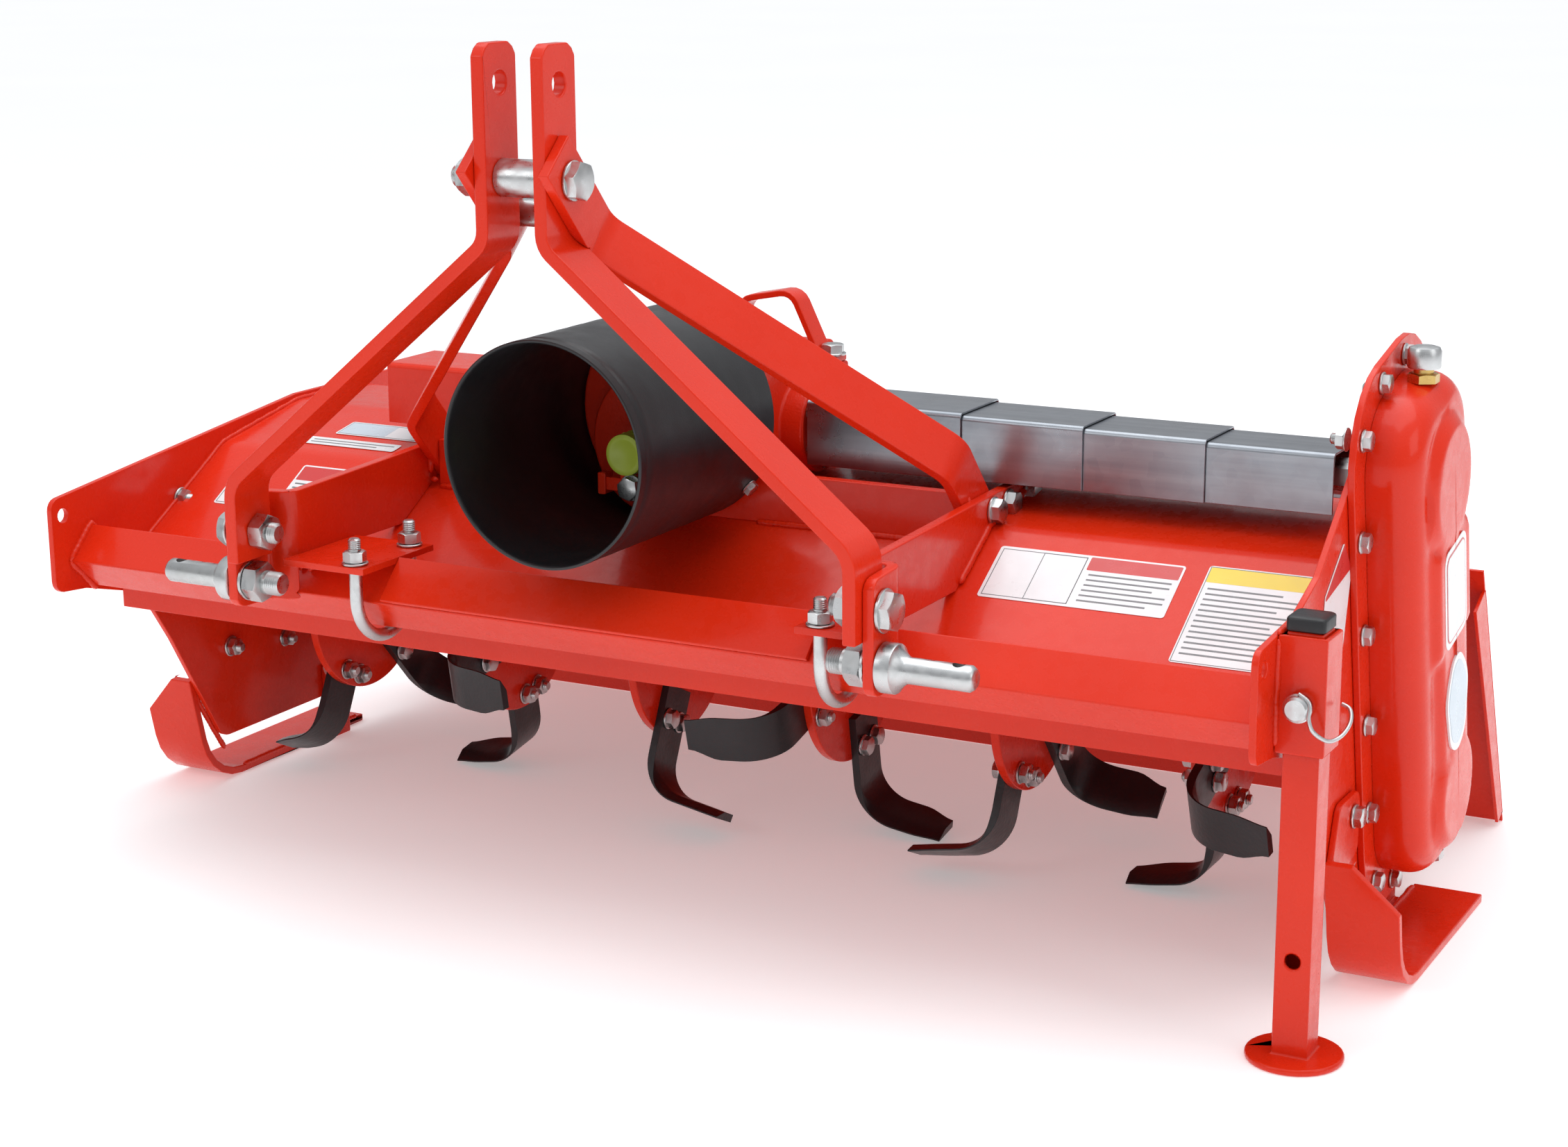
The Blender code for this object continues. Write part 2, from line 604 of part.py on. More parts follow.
def u_bolt(name, x, seat):
    half = (CLAMP_Y[1] - CLAMP_Y[0]) / 2
    middle = sum(CLAMP_Y) / 2
    centre = BEAM_Z - BEAM_HALF - GAP - CLAMP_ROD + half
    top = seat + 0.024
    points = [(middle - half, top)]
    points += [(middle - half * math.cos(a), centre - half * math.sin(a))
               for a in (math.pi * k / 10 for k in range(11))]
    points.append((middle + half, top))
    curve = bpy.data.curves.new("u_bolt_" + name, "CURVE")
    curve.dimensions = "3D"
    curve.bevel_depth = CLAMP_ROD
    curve.bevel_resolution = 2
    curve.use_fill_caps = True
    spline = curve.splines.new("POLY")
    spline.points.add(len(points) - 1)
    for point, (y, z) in zip(spline.points, points):
        point.co = (x, y, z_of(z), 1)
    guide = bpy.data.objects.new("u_bolt_guide", curve)
    CUTTERS.objects.link(guide)
    bpy.context.view_layer.update()
    graph = bpy.context.evaluated_depsgraph_get()
    mesh = bpy.data.meshes.new_from_object(guide.evaluated_get(graph))
    bpy.data.objects.remove(guide, do_unlink=True)
    bm = bmesh.new()
    bm.from_mesh(mesh)
    bmesh.ops.remove_doubles(bm, verts=bm.verts, dist=1e-6)
    bmesh.ops.recalc_face_normals(bm, faces=bm.faces)
    bm.to_mesh(mesh)
    bm.free()
    rod_piece = adopt(mesh, "u_bolt_" + name, "zinc")
    join(rod_piece, *[rod("nut", None, (x, y, seat), (x, y, seat + 0.013), 0.0115, 6)
                      for y in CLAMP_Y])


# ---------------------------------------------------------------- gearbox and input
GEARBOX_HALF = 0.070
GEARBOX_FRONT = 0.262
GEARBOX_REAR = 0.420
GEARBOX_TOP = SHAFT_Z + 0.071
HUB_RADIUS = 0.044
HUB_END = 0.095
BOSS_RADIUS = 0.070
BOSS_FRONT = 0.200
CAP_FRONT = 0.140
CAP_REAR = 0.1647


def gearbox():
    profile = [(GEARBOX_FRONT, deck_top(GEARBOX_FRONT)), (GEARBOX_FRONT, GEARBOX_TOP, 0.008),
               (GEARBOX_REAR, GEARBOX_TOP, 0.008), (GEARBOX_REAR, deck_top(GEARBOX_REAR)),
               (DECK_BACK[0], deck_top(DECK_BACK[0])),
               (DECK_CREASE[0], deck_top(DECK_CREASE[0]))]
    body = prism("gearbox", "red", rounded(profile), "X", -GEARBOX_HALF, GEARBOX_HALF)
    ring = SHIELD_RADIUS - SHIELD_WALL - GAP
    join(body,
         rod("hub", None, (-HUB_END, SHAFT_Y, SHAFT_Z), (HUB_END, SHAFT_Y, SHAFT_Z),
             HUB_RADIUS, 24),
         rod("boss", None, (0, BOSS_FRONT, SHAFT_Z), (0, GEARBOX_FRONT + 0.02, SHAFT_Z),
             BOSS_RADIUS, 32),
         rod("ring", None, (0, SHIELD_REAR - 0.014, SHIELD_Z),
             (0, SHIELD_REAR - 0.004, SHIELD_Z), ring, 48),
         box("pad", None, (GEARBOX_HALF - 0.002, HUB_END + 0.003), (0.358, 0.394),
             (SHAFT_Z + 0.010, HOOK_FOOT - GAP)))
    cut(body,
        prism("deck_way", None, under_deck(GAP), "X", -0.1, 0.1),
        rod("bore", None, (0, BOSS_FRONT - 0.01, SHAFT_Z), (0, BOSS_FRONT + 0.03, SHAFT_Z),
            INPUT_RADIUS + 0.006, 24),
        rod("bore", None, (HUB_END - 0.02, SHAFT_Y, SHAFT_Z), (HUB_END + 0.01, SHAFT_Y, SHAFT_Z),
            CROSS_RADIUS + 0.005, 24))


def input_shaft():
    rod("input_shaft", "zinc", (0, CAP_REAR + GAP, SHAFT_Z), (0, BOSS_FRONT + 0.0297, SHAFT_Z),
        INPUT_RADIUS, 24)
    rod("input_cap", "lime", (0, CAP_FRONT, SHAFT_Z), (0, CAP_REAR, SHAFT_Z),
        INPUT_RADIUS + 0.002, 24)


def shield():
    tube = rod("input_shield", "black", (0, SHIELD_FRONT, SHIELD_Z), (0, SHIELD_REAR, SHIELD_Z),
               SHIELD_RADIUS, 48)
    cut(tube, rod("bore", None, (0, SHIELD_FRONT - 0.01, SHIELD_Z),
                  (0, SHIELD_REAR + 0.01, SHIELD_Z), SHIELD_RADIUS - SHIELD_WALL, 48))


HOOK_FOOT = SHAFT_Z + HUB_RADIUS + 0.012
HOOK_SHEET = 0.006
HOOK_WIDTH = 0.025
HOOK_Y = 0.378


def lifting_loop():
    seat = GEARBOX_TOP + GAP + HOOK_SHEET / 2
    foot = HOOK_FOOT + HOOK_SHEET / 2
    path = [(-0.034, seat), (-0.012, seat, 0.007), (-0.004, GEARBOX_TOP + 0.040, 0.016),
            (0.050, GEARBOX_TOP + 0.050, 0.016), (0.080, foot, 0.006), (0.097, foot)]
    prism("lifting_loop", "red", bent(path, HOOK_SHEET), "Y", HOOK_Y - HOOK_WIDTH / 2,
          HOOK_Y + HOOK_WIDTH / 2)


def cross_plate():
    """The tie between the arms, in front of the gearbox."""
    low = deck_top(CROSS_PLATE_Y - 0.003)
    lip = GEARBOX_FRONT - GAP
    plate = prism("cross_plate", "red",
                  [(CROSS_PLATE_Y - 0.003, low), (CROSS_PLATE_Y - 0.003, 0.090),
                   (lip, 0.090), (lip, 0.085),
                   (CROSS_PLATE_Y + 0.003, 0.085),
                   (CROSS_PLATE_Y + 0.003, deck_top(CROSS_PLATE_Y + 0.003))],
                  "X", -CROSS_PLATE_HALF, CROSS_PLATE_HALF)
    cut(plate, rod("boss_way", None, (0, CROSS_PLATE_Y - 0.02, SHAFT_Z),
                   (0, CROSS_PLATE_Y + 0.03, SHAFT_Z), BOSS_RADIUS + GAP, 32))


CROSS_PLATE_Y = 0.253
CROSS_PLATE_HALF = 0.2793


# ---------------------------------------------------------------- cross shaft and covers
def channel(name, finish, x, shrink, sheet, bottom=None):
    half = COVER_HALF - shrink
    top = COVER_TOP - shrink
    low = COVER_BOTTOM if bottom is None else bottom
    mid = sheet / 2
    path = [(SHAFT_Y - half + mid, low), (SHAFT_Y - half + mid, top - mid, 0.004),
            (SHAFT_Y + half - mid, top - mid, 0.004), (SHAFT_Y + half - mid, low)]
    return prism(name, finish, bent(path, sheet, 3), "X", *x)


def covers():
    for k in range(4):
        start = COVER_ENDS[k] - (COVER_LAP if k else 0)
        channel("shaft_cover_%d" % (k + 1), "galvanised", (start, COVER_ENDS[k + 1]),
                COVER_STEP * k, COVER_SHEET)
    arm = box("cover_bracket", "red", (COVER_ENDS[4] - 0.050, X_RIGHT),
              (SHAFT_Y + COVER_HALF - COVER_STEP * 3 - COVER_SHEET - GAP - 0.003,
               SHAFT_Y + COVER_HALF - COVER_STEP * 3 - COVER_SHEET - GAP),
              (COVER_BOTTOM + 0.004, COVER_TOP - 0.030))
    left = channel("left_shaft_cover", "red", (BOX_LEFT, -GEARBOX_HALF - GAP), 0.0, 0.003)
    join(left, box("end", None, (BOX_LEFT + 0.001, BOX_LEFT + 0.004),
                   (SHAFT_Y - COVER_HALF + 0.001, SHAFT_Y + COVER_HALF - 0.001),
                   (COVER_BOTTOM + 0.001, COVER_TOP - 0.001)))
    cut(left, rod("hub_way", None, (-HUB_END - 0.004, SHAFT_Y, SHAFT_Z),
                  (-GEARBOX_HALF + 0.01, SHAFT_Y, SHAFT_Z), HUB_RADIUS + GAP, 24))
    return arm


def cross_shaft():
    rod("cross_shaft", "zinc", (HUB_END - 0.0197, SHAFT_Y, SHAFT_Z),
        (RIGHT_OUTER + CASE_FLANGE + 0.010, SHAFT_Y, SHAFT_Z), CROSS_RADIUS, 6)


# ---------------------------------------------------------------- side drive
def case_outline(grow):
    """Rounded outline of the side drive, leaning from the shaft down to the rotor."""
    top = Vector((SHAFT_Y, SHAFT_Z))
    foot = Vector((ROTOR_Y, ROTOR_Z))
    down = (foot - top).normalized()
    across = Vector((-down.y, down.x))
    half = CASE_HALF + grow
    a = top - down * (CASE_HEAD + grow - CASE_RIM)
    b = foot + down * (CASE_FOOT + grow - CASE_RIM)
    corners = [a + across * half, a - across * half, b - across * half, b + across * half]
    return rounded([(*corner, half * 0.72) for corner in corners], 6)


def side_drive():
    low = RIGHT_OUTER + GAP
    flange = prism("drive_flange", "red", case_outline(CASE_RIM), "X", low, low + CASE_FLANGE)
    for y, z, radius in ((SHAFT_Y, SHAFT_Z, CROSS_RADIUS + 0.012),
                         (ROTOR_Y, ROTOR_Z, 0.030)):
        cut(flange, rod("bore", None, (low - 0.02, y, z), (low + 0.02, y, z), radius, 24))
    face = low + CASE_FLANGE + GAP
    cover = prism("drive_cover", "red", case_outline(-0.014), "X", face, face + CASE_DEPTH)
    bevel = cover.modifiers.new("rounded_edge", "BEVEL")
    bevel.limit_method = "ANGLE"
    bevel.angle_limit = math.radians(60)
    bevel.width = 0.016
    bevel.segments = 3
    pocket = prism("cover_pocket", None, case_outline(-0.026), "X", face - 0.01,
                   face + CASE_DEPTH - 0.010)
    cut(cover, pocket)


# ---------------------------------------------------------------- parking stand
STAND_X = RIGHT_OUTER + GAP + STAND_SLEEVE / 2
STAND_PIN_Z = -0.005


def stand():
    y = STAND_Y
    half = STAND_SLEEVE / 2
    sleeve = box("stand_sleeve", "red", (STAND_X - half, STAND_X + half), (y - half, y + half),
                 (SLEEVE_TOP - SLEEVE_LENGTH, SLEEVE_TOP))
    inner = half - STAND_WALL
    bore = box("sleeve_bore", None, (STAND_X - inner, STAND_X + inner), (y - inner, y + inner),
               (SLEEVE_TOP - SLEEVE_LENGTH - 0.01, SLEEVE_TOP + 0.01))
    cut(sleeve, bore, along_y("pin_bore", None, y - 0.05, y + 0.05, STAND_PIN_Z,
                              STAND_PIN_RADIUS + FREE))
    t = STAND_TUBE / 2
    floor = -PIN_HEIGHT
    leg = box("stand_leg", "red", (STAND_X - t, STAND_X + t), (y - t, y + t),
              (floor + STAND_PAD_THICK - 0.001, STAND_CAP_TOP - 0.012))
    join(leg, rod("pad", None, (STAND_X, y, floor), (STAND_X, y, floor + STAND_PAD_THICK),
                  STAND_PAD_RADIUS, 32))
    cut(leg, box("leg_bore", None, (STAND_X - t + 0.003, STAND_X + t - 0.003),
                 (y - t + 0.003, y + t - 0.003), (floor + 0.010, STAND_CAP_TOP)),
        along_y("leg_hole", None, y - 0.05, y + 0.05, STAND_PIN_Z, STAND_PIN_RADIUS + FREE),
        along_y("leg_hole", None, y - 0.05, y + 0.05, STAND_PIN_Z - STAND_STEP,
                STAND_PIN_RADIUS + FREE))
    cap = box("stand_cap", "black", (STAND_X - t - 0.001, STAND_X + t + 0.001),
              (y - t - 0.001, y + t + 0.001), (STAND_CAP_TOP - 0.012 + GAP, STAND_CAP_TOP))
    pin = along_y("stand_pin", "zinc", y - half - 0.003, y - t - GAP, STAND_PIN_Z,
                  STAND_PIN_RADIUS)
    join(pin, along_y("head", None, y - half - 0.014, y - half - GAP, STAND_PIN_Z, 0.0105))
    for obj in (leg, cap):
        set_origin(obj, (STAND_X, y, STAND_PIN_Z))


def along_y(name, finish, y0, y1, z, radius):
    return rod(name, finish, (STAND_X, y0, z), (STAND_X, y1, z), radius)


def set_origin(obj, place):
    """Move an object's origin without moving its shape."""
    origin = Vector((place[0], place[1], z_of(place[2])))
    obj.data.transform(Matrix.Translation(-origin))
    obj.location = origin


# ---------------------------------------------------------------- skids
def skid(name, outer, side):
    floor = -PIN_HEIGHT
    level = floor + SKID_THICK / 2
    path = [SKID_FRONT, (SKID_TOE, level, 0.060), (SKID_HEEL, level)]
    near = outer + side * GAP
    far = outer + side * SKID_WIDTH
    strip = prism("skid_" + name, "red", bent(path, SKID_THICK, 5), "X", *sorted((near, far)))
    brow = SKID_FRONT[1]
    corner = [(far - side * 0.040, brow + 0.02), (far - side * 0.040, brow),
              (far + side * 0.01, brow - 0.050), (far + side * 0.01, brow + 0.02)]
    cut(strip, prism("corner", None, corner, "Y", SKID_FRONT[0] - 0.05, SKID_TOE + 0.05))
    tab = [(SKID_FRONT[0] + 0.002, brow - 0.002), (SKID_FRONT[0] + 0.010, brow - 0.026),
           (SKID_FRONT[0] + 0.076, brow - 0.012, 0.010), (SKID_FRONT[0] + 0.076, -0.140, 0.012),
           (SKID_FRONT[0] + 0.020, -0.140, 0.012)]
    join(strip, prism("front_tab", None, rounded(tab), "X",
                      *sorted((near, outer + side * 0.006))))
    inside = outer - side * SIDE_PLATE
    heel = (SKID_HEEL - 0.080, SKID_HEEL - 0.040)
    join(strip,
         box("heel_foot", None, sorted((inside - side * 0.0063, near + side * 0.004)), heel,
             (floor + 0.0005, floor + SKID_THICK - 0.0005)),
         box("heel_tab", None, sorted((inside - side * 0.0063, inside - side * GAP)), heel,
             (floor + 0.001, floor + 0.085)))


# ---------------------------------------------------------------- rotor
def rotor_tube():
    tube = rod("rotor_tube", "red", (LEFT_OUTER + SIDE_PLATE + 0.006, ROTOR_Y, ROTOR_Z),
               (RIGHT_OUTER - SIDE_PLATE - 0.006, ROTOR_Y, ROTOR_Z), ROTOR_TUBE, 24)
    join(tube,
         rod("left_stub", None, (LEFT_OUTER + 0.001, ROTOR_Y, ROTOR_Z),
             (LEFT_OUTER + 0.03, ROTOR_Y, ROTOR_Z), 0.020, 16),
         rod("right_stub", None, (RIGHT_OUTER - 0.03, ROTOR_Y, ROTOR_Z),
             (RIGHT_OUTER + CASE_FLANGE - 0.001, ROTOR_Y, ROTOR_Z), 0.020, 16))
    set_origin(tube, (0, ROTOR_Y, ROTOR_Z))


def bearing():
    ring = rod("rotor_bearing", "red", (LEFT_OUTER - 0.014, ROTOR_Y, ROTOR_Z),
               (LEFT_OUTER - GAP, ROTOR_Y, ROTOR_Z), 0.072, 32)
    cut(ring, rod("bore", None, (LEFT_OUTER - 0.008, ROTOR_Y, ROTOR_Z),
                  (LEFT_OUTER + 0.01, ROTOR_Y, ROTOR_Z), 0.026, 24))


def tine(side, reach):
    """Outline of one tine: a shank out from the flange and a blade curved to one side."""
    inner = FLANGE_RADIUS - 0.048
    tip = TINE_REACH - TINE_THICK / 2
    near = side * (FLANGE_THICK / 2 + TINE_THICK / 2 - 0.0005)
    path = [(near, inner), (near, tip - 0.014, 0.040), (near + side * reach, tip)]
    return bent(path, TINE_THICK, 4)


def tine_sets():
    for k, turns in enumerate(TINE_TURNS):
        x = FLANGE_FIRST + FLANGE_STEP * k
        disc = rod("tine_set_%d" % (k + 1), "black", (x - FLANGE_THICK / 2, ROTOR_Y, ROTOR_Z),
                   (x + FLANGE_THICK / 2, ROTOR_Y, ROTOR_Z), FLANGE_RADIUS, 32)
        cut(disc, rod("bore", None, (x - 0.03, ROTOR_Y, ROTOR_Z), (x + 0.03, ROTOR_Y, ROTOR_Z),
                      ROTOR_TUBE + GAP, 24))
        for n in range(4):
            angle = math.radians(turns[n % 2] + 90 * (n - n % 2))
            out = Vector((0, math.sin(angle), -math.cos(angle)))
            centre = Vector((x, ROTOR_Y, z_of(ROTOR_Z)))
            side = 1 if n % 2 else -1
            reach = TINE_SHORT if k == 0 and side < 0 else TINE_BLADE
            join(disc, prism("tine", None, tine(side, reach), "X", -TINE_WIDTH / 2,
                             TINE_WIDTH / 2, Vector((1, 0, 0)), out, centre))
        set_origin(disc, (0, ROTOR_Y, ROTOR_Z))


# ---------------------------------------------------------------- tailboard
def tail_length():
    """From the hinge to the edge that trails just over the ground."""
    lean = math.radians(TAIL_LEAN)
    drop = PIN_HEIGHT + TAIL_AXIS[1] - 0.0004 - TAIL_SHEET / 2 * math.sin(lean)
    return drop / math.cos(lean)


def tailboard():
    y, z = TAIL_AXIS
    rod("tail_rod", "zinc", (LEFT_OUTER - 0.006, y, z), (RIGHT_OUTER + 0.006, y, z), TAIL_ROD)
    lean = math.radians(TAIL_LEAN)
    down = Vector((math.sin(lean), -math.cos(lean)))
    hinge = Vector((y, z))
    start = hinge + down * 0.007
    end = hinge + down * tail_length()
    low, high = LEFT_OUTER - TAIL_OVERHANG, RIGHT_OUTER + TAIL_OVERHANG
    sheet = prism("tailboard", "red", bent([start, end], TAIL_SHEET), "X", low, high)
    forward = Vector((-down.y, down.x)) * -1
    a, b = hinge + down * 0.030, end - down * 0.012
    flange = [a, a + forward * TAIL_SIDE, b + forward * TAIL_SIDE * 0.5, b]
    for x0, x1 in ((low - GAP, low + TAIL_SHEET), (high - TAIL_SHEET, high + GAP)):
        join(sheet, prism("side", None, [tuple(p) for p in flange], "X", x0, x1))
    bore = rod("rod_bore", None, (low - 0.01, y, z), (high + 0.01, y, z), TAIL_ROD + FREE, 12)
    for x in TAIL_KNUCKLES:
        join(sheet, rod("knuckle", None, (x - 0.03, y, z), (x + 0.03, y, z), TAIL_KNUCKLE, 16))
    cut(sheet, bore, *[rod("knuckle_way", None, (x - 0.018, y, z), (x + 0.018, y, z),
                           TAIL_KNUCKLE + 0.002, 16) for x in HOOD_KNUCKLES])
    set_origin(sheet, (0, y, z))


# ---------------------------------------------------------------- assembly
def centre_on_ground():
    """Shift every piece so that the origin is the middle of the footprint."""
    bpy.context.view_layer.update()
    graph = bpy.context.evaluated_depsgraph_get()
    low = Vector((1e9, 1e9, 1e9))
    high = -low
    for obj in PARTS.objects:
        seen = obj.evaluated_get(graph)
        for corner in seen.bound_box:
            point = seen.matrix_world @ Vector(corner)
            low = Vector(map(min, low, point))
            high = Vector(map(max, high, point))
    shift = Vector(((low.x + high.x) / 2, (low.y + high.y) / 2, low.z))
    for obj in list(PARTS.objects) + list(CUTTERS.objects):
        obj.location -= shift


def build():
    side_plates()
    front_beam()
    deck()
    mirrored(hitch_arm)
    mirrored(mast_strap)
    mirrored(rear_brace)
    mirrored(hitch_bolts)
    mirrored(lower_pin)
    mast_fasteners()
    beam_clamps()
    cross_plate()
    gearbox()
    input_shaft()
    shield()
    lifting_loop()
    covers()
    cross_shaft()
    side_drive()
    stand()
    skid("left", LEFT_OUTER, -1)
    skid("right", RIGHT_OUTER, 1)
    rotor_tube()
    bearing()
    tine_sets()
    tailboard()
    centre_on_ground()


build()
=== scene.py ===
"""Looks of a three-point hitch rotary tiller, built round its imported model.

Lengths are metres.  at(x, y, z) is a place in the hitch frame: x = 0 midway between the
lower hitch pins, y = 0 on their axis, z = 0 at their height, +x to the side drive.
"""
import json
import math

import bmesh
import bpy
from mathutils import Matrix, Vector, noise


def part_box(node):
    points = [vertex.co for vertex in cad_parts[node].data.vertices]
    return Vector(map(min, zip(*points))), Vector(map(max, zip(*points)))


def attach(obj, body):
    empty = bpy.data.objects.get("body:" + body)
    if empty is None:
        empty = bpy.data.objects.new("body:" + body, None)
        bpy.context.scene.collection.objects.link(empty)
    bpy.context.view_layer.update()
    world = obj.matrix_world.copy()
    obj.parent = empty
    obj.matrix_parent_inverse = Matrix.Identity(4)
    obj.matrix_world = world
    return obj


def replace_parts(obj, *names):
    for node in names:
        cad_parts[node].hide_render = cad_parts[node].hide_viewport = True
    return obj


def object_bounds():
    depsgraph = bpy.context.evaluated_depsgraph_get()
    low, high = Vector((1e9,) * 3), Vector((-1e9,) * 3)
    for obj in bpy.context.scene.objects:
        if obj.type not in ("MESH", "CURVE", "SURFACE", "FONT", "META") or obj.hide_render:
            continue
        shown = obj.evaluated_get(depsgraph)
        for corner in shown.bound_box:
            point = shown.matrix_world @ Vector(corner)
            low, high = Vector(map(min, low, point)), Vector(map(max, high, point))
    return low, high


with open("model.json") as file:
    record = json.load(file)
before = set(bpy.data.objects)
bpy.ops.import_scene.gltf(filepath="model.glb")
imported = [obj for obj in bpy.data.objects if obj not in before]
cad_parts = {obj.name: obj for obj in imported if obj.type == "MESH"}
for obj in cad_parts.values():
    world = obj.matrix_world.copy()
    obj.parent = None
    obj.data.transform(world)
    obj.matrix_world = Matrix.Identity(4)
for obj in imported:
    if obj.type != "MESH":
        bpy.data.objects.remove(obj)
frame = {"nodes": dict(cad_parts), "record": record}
CAD_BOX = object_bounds()

BODY = {node: body
        for body, nodes in frame["record"]["behaviour"]["bodies"].items() for node in nodes}
X = Vector((1, 0, 0))
Y = Vector((0, 1, 0))
Z = Vector((0, 0, 1))


def middle(node):
    low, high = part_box(node)
    return (low + high) / 2


HITCH = Vector(((middle("lower_pin_left").x + middle("lower_pin_right").x) / 2,
                middle("lower_pin_left").y, middle("lower_pin_left").z))


def at(x, y, z):
    return HITCH + Vector((x, y, z))


def face(node, axis, side):
    """The node's lowest (side 0) or highest (side 1) place along an axis, in the hitch frame."""
    return (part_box(node)[side] - HITCH)[axis]


LEFT = face("side_plate_left", 0, 0)            # outer faces of the side plates
RIGHT = face("side_plate_right", 0, 1)
PLATE = 0.006                                   # their thickness
SHAFT = middle("cross_shaft") - HITCH
ROTOR = middle("rotor_tube") - HITCH
DOWN = Vector((0, ROTOR.y - SHAFT.y, ROTOR.z - SHAFT.z)).normalized()   # along the side drive
ACROSS = Vector((0, -DOWN.z, DOWN.y))
# The hood's upper face: its front slope and the flatter top behind, from bend to bend.
DECK_SLOPE = (Vector((0, 0.112, -0.0395)), Vector((0, 0.275, 0.0585)))
DECK_TOP = (Vector((0, 0.275, 0.0585)), Vector((0, 0.400, 0.0822)))


# ---------------------------------------------------------------- materials
class Nodes:
    """Short forms for building one material's node tree."""

    def __init__(self, name, **values):
        self.mat = bpy.data.materials.new(name)
        self.mat.use_nodes = True
        self.tree = self.mat.node_tree
        self.shader = self.tree.nodes["Principled BSDF"]
        self.place = self.tree.nodes.new("ShaderNodeTexCoord").outputs["Object"]
        for socket, value in values.items():
            self.shader.inputs[socket.replace("_", " ")].default_value = value

    def link(self, a, b):
        self.tree.links.new(a, b)

    def stretch(self, scale):
        node = self.tree.nodes.new("ShaderNodeMapping")
        node.inputs["Scale"].default_value = scale
        self.link(self.place, node.inputs["Vector"])
        return node.outputs["Vector"]

    def noise(self, scale, detail=3.0, where=None, rough=0.5):
        node = self.tree.nodes.new("ShaderNodeTexNoise")
        node.inputs["Scale"].default_value = scale
        node.inputs["Detail"].default_value = detail
        node.inputs["Roughness"].default_value = rough
        self.link(where or self.place, node.inputs["Vector"])
        return node.outputs["Fac"]

    def cells(self, scale):
        node = self.tree.nodes.new("ShaderNodeTexVoronoi")
        node.inputs["Scale"].default_value = scale
        self.link(self.place, node.inputs["Vector"])
        return node.outputs["Color"]

    def ramp(self, value, stops):
        node = self.tree.nodes.new("ShaderNodeValToRGB")
        elements = node.color_ramp.elements
        while len(elements) < len(stops):
            elements.new(0.5)
        for element, (place, colour) in zip(elements, stops):
            element.position = place
            element.color = colour if len(colour) == 4 else (*colour, 1)
        self.link(value, node.inputs["Fac"])
        return node.outputs["Color"]

    def spread(self, value, low, high, start=0.3, end=0.7):
        node = self.tree.nodes.new("ShaderNodeMapRange")
        node.inputs["From Min"].default_value = start
        node.inputs["From Max"].default_value = end
        node.inputs["To Min"].default_value = low
        node.inputs["To Max"].default_value = high
        self.link(value, node.inputs["Value"])
        return node.outputs["Result"]

    def bump(self, layers):
        """Chain bumps, each (height, strength, distance), into the shader's normal."""
        last = None
        for height, strength, distance in layers:
            node = self.tree.nodes.new("ShaderNodeBump")
            node.inputs["Strength"].default_value = strength
            node.inputs["Distance"].default_value = distance
            self.link(height, node.inputs["Height"])
            if last:
                self.link(last, node.inputs["Normal"])
            last = node.outputs["Normal"]
        self.link(last, self.shader.inputs["Normal"])
        return last

    def set(self, socket, output):
        self.link(output, self.shader.inputs[socket])


def painted(name, dark, light, roughness, coat, orange_peel=0.10):
    """Sprayed gloss paint: orange peel, slow waves in the sheet, dust and faint handling marks."""
    m = Nodes(name, Coat_Weight=coat, Coat_Roughness=0.08, Specular_IOR_Level=0.20)
    slow = m.noise(5.0, 2.0)
    fine = m.noise(70.0, 5.0, rough=0.6)
    m.set("Base Color", m.ramp(slow, [(0.30, dark), (0.70, light)]))
    m.set("Roughness", m.spread(fine, roughness * 0.82, roughness * 1.35, 0.35, 0.65))
    peel = m.noise(420.0, 2.0)
    waves = m.noise(16.0, 1.0)
    normal = m.bump([(waves, 0.10, 0.004), (peel, orange_peel, 0.0006)])
    m.link(normal, m.shader.inputs["Coat Normal"])
    return m.mat


def plated(name, low, high, roughness, tint=(0.50, 0.51, 0.50)):
    """Bright zinc plate, a little clouded, with fine turning and handling scratches."""
    m = Nodes(name, Metallic=1.0)
    m.set("Base Color", m.ramp(m.noise(26.0, 4.0), [(0.25, tint), (0.45, low), (0.72, high)]))
    m.set("Roughness", m.spread(m.noise(120.0, 4.0), roughness * 0.7, roughness * 1.5))
    m.bump([(m.noise(600.0, 3.0), 0.10, 0.0003), (m.noise(45.0, 2.0), 0.05, 0.0008)])
    return m.mat


def galvanised():
    """Folded galvanised sheet: spangle cells, rolling streaks, scuffs and oil-canning."""
    m = Nodes("galvanised_sheet", Metallic=1.0)
    spangle = m.cells(85.0)
    streak = m.noise(1.0, 6.0, m.stretch((3.0, 120.0, 120.0)))
    mix = m.tree.nodes.new("ShaderNodeMixRGB")
    mix.inputs["Fac"].default_value = 0.22
    m.link(m.ramp(streak, [(0.30, (0.27, 0.29, 0.32)), (0.68, (0.36, 0.38, 0.41))]),
           mix.inputs["Color1"])
    m.link(m.ramp(spangle, [(0.0, (0.26, 0.28, 0.31)), (1.0, (0.42, 0.44, 0.47))]),
           mix.inputs["Color2"])
    m.set("Base Color", mix.outputs["Color"])
    m.set("Roughness", m.spread(m.noise(9.0, 6.0, rough=0.7), 0.24, 0.38, 0.35, 0.65))
    m.bump([(m.noise(7.0, 1.0), 0.25, 0.004), (m.noise(1.0, 4.0, m.stretch((8.0, 420.0, 420.0))),
                                               0.10, 0.0004)])
    return m.mat


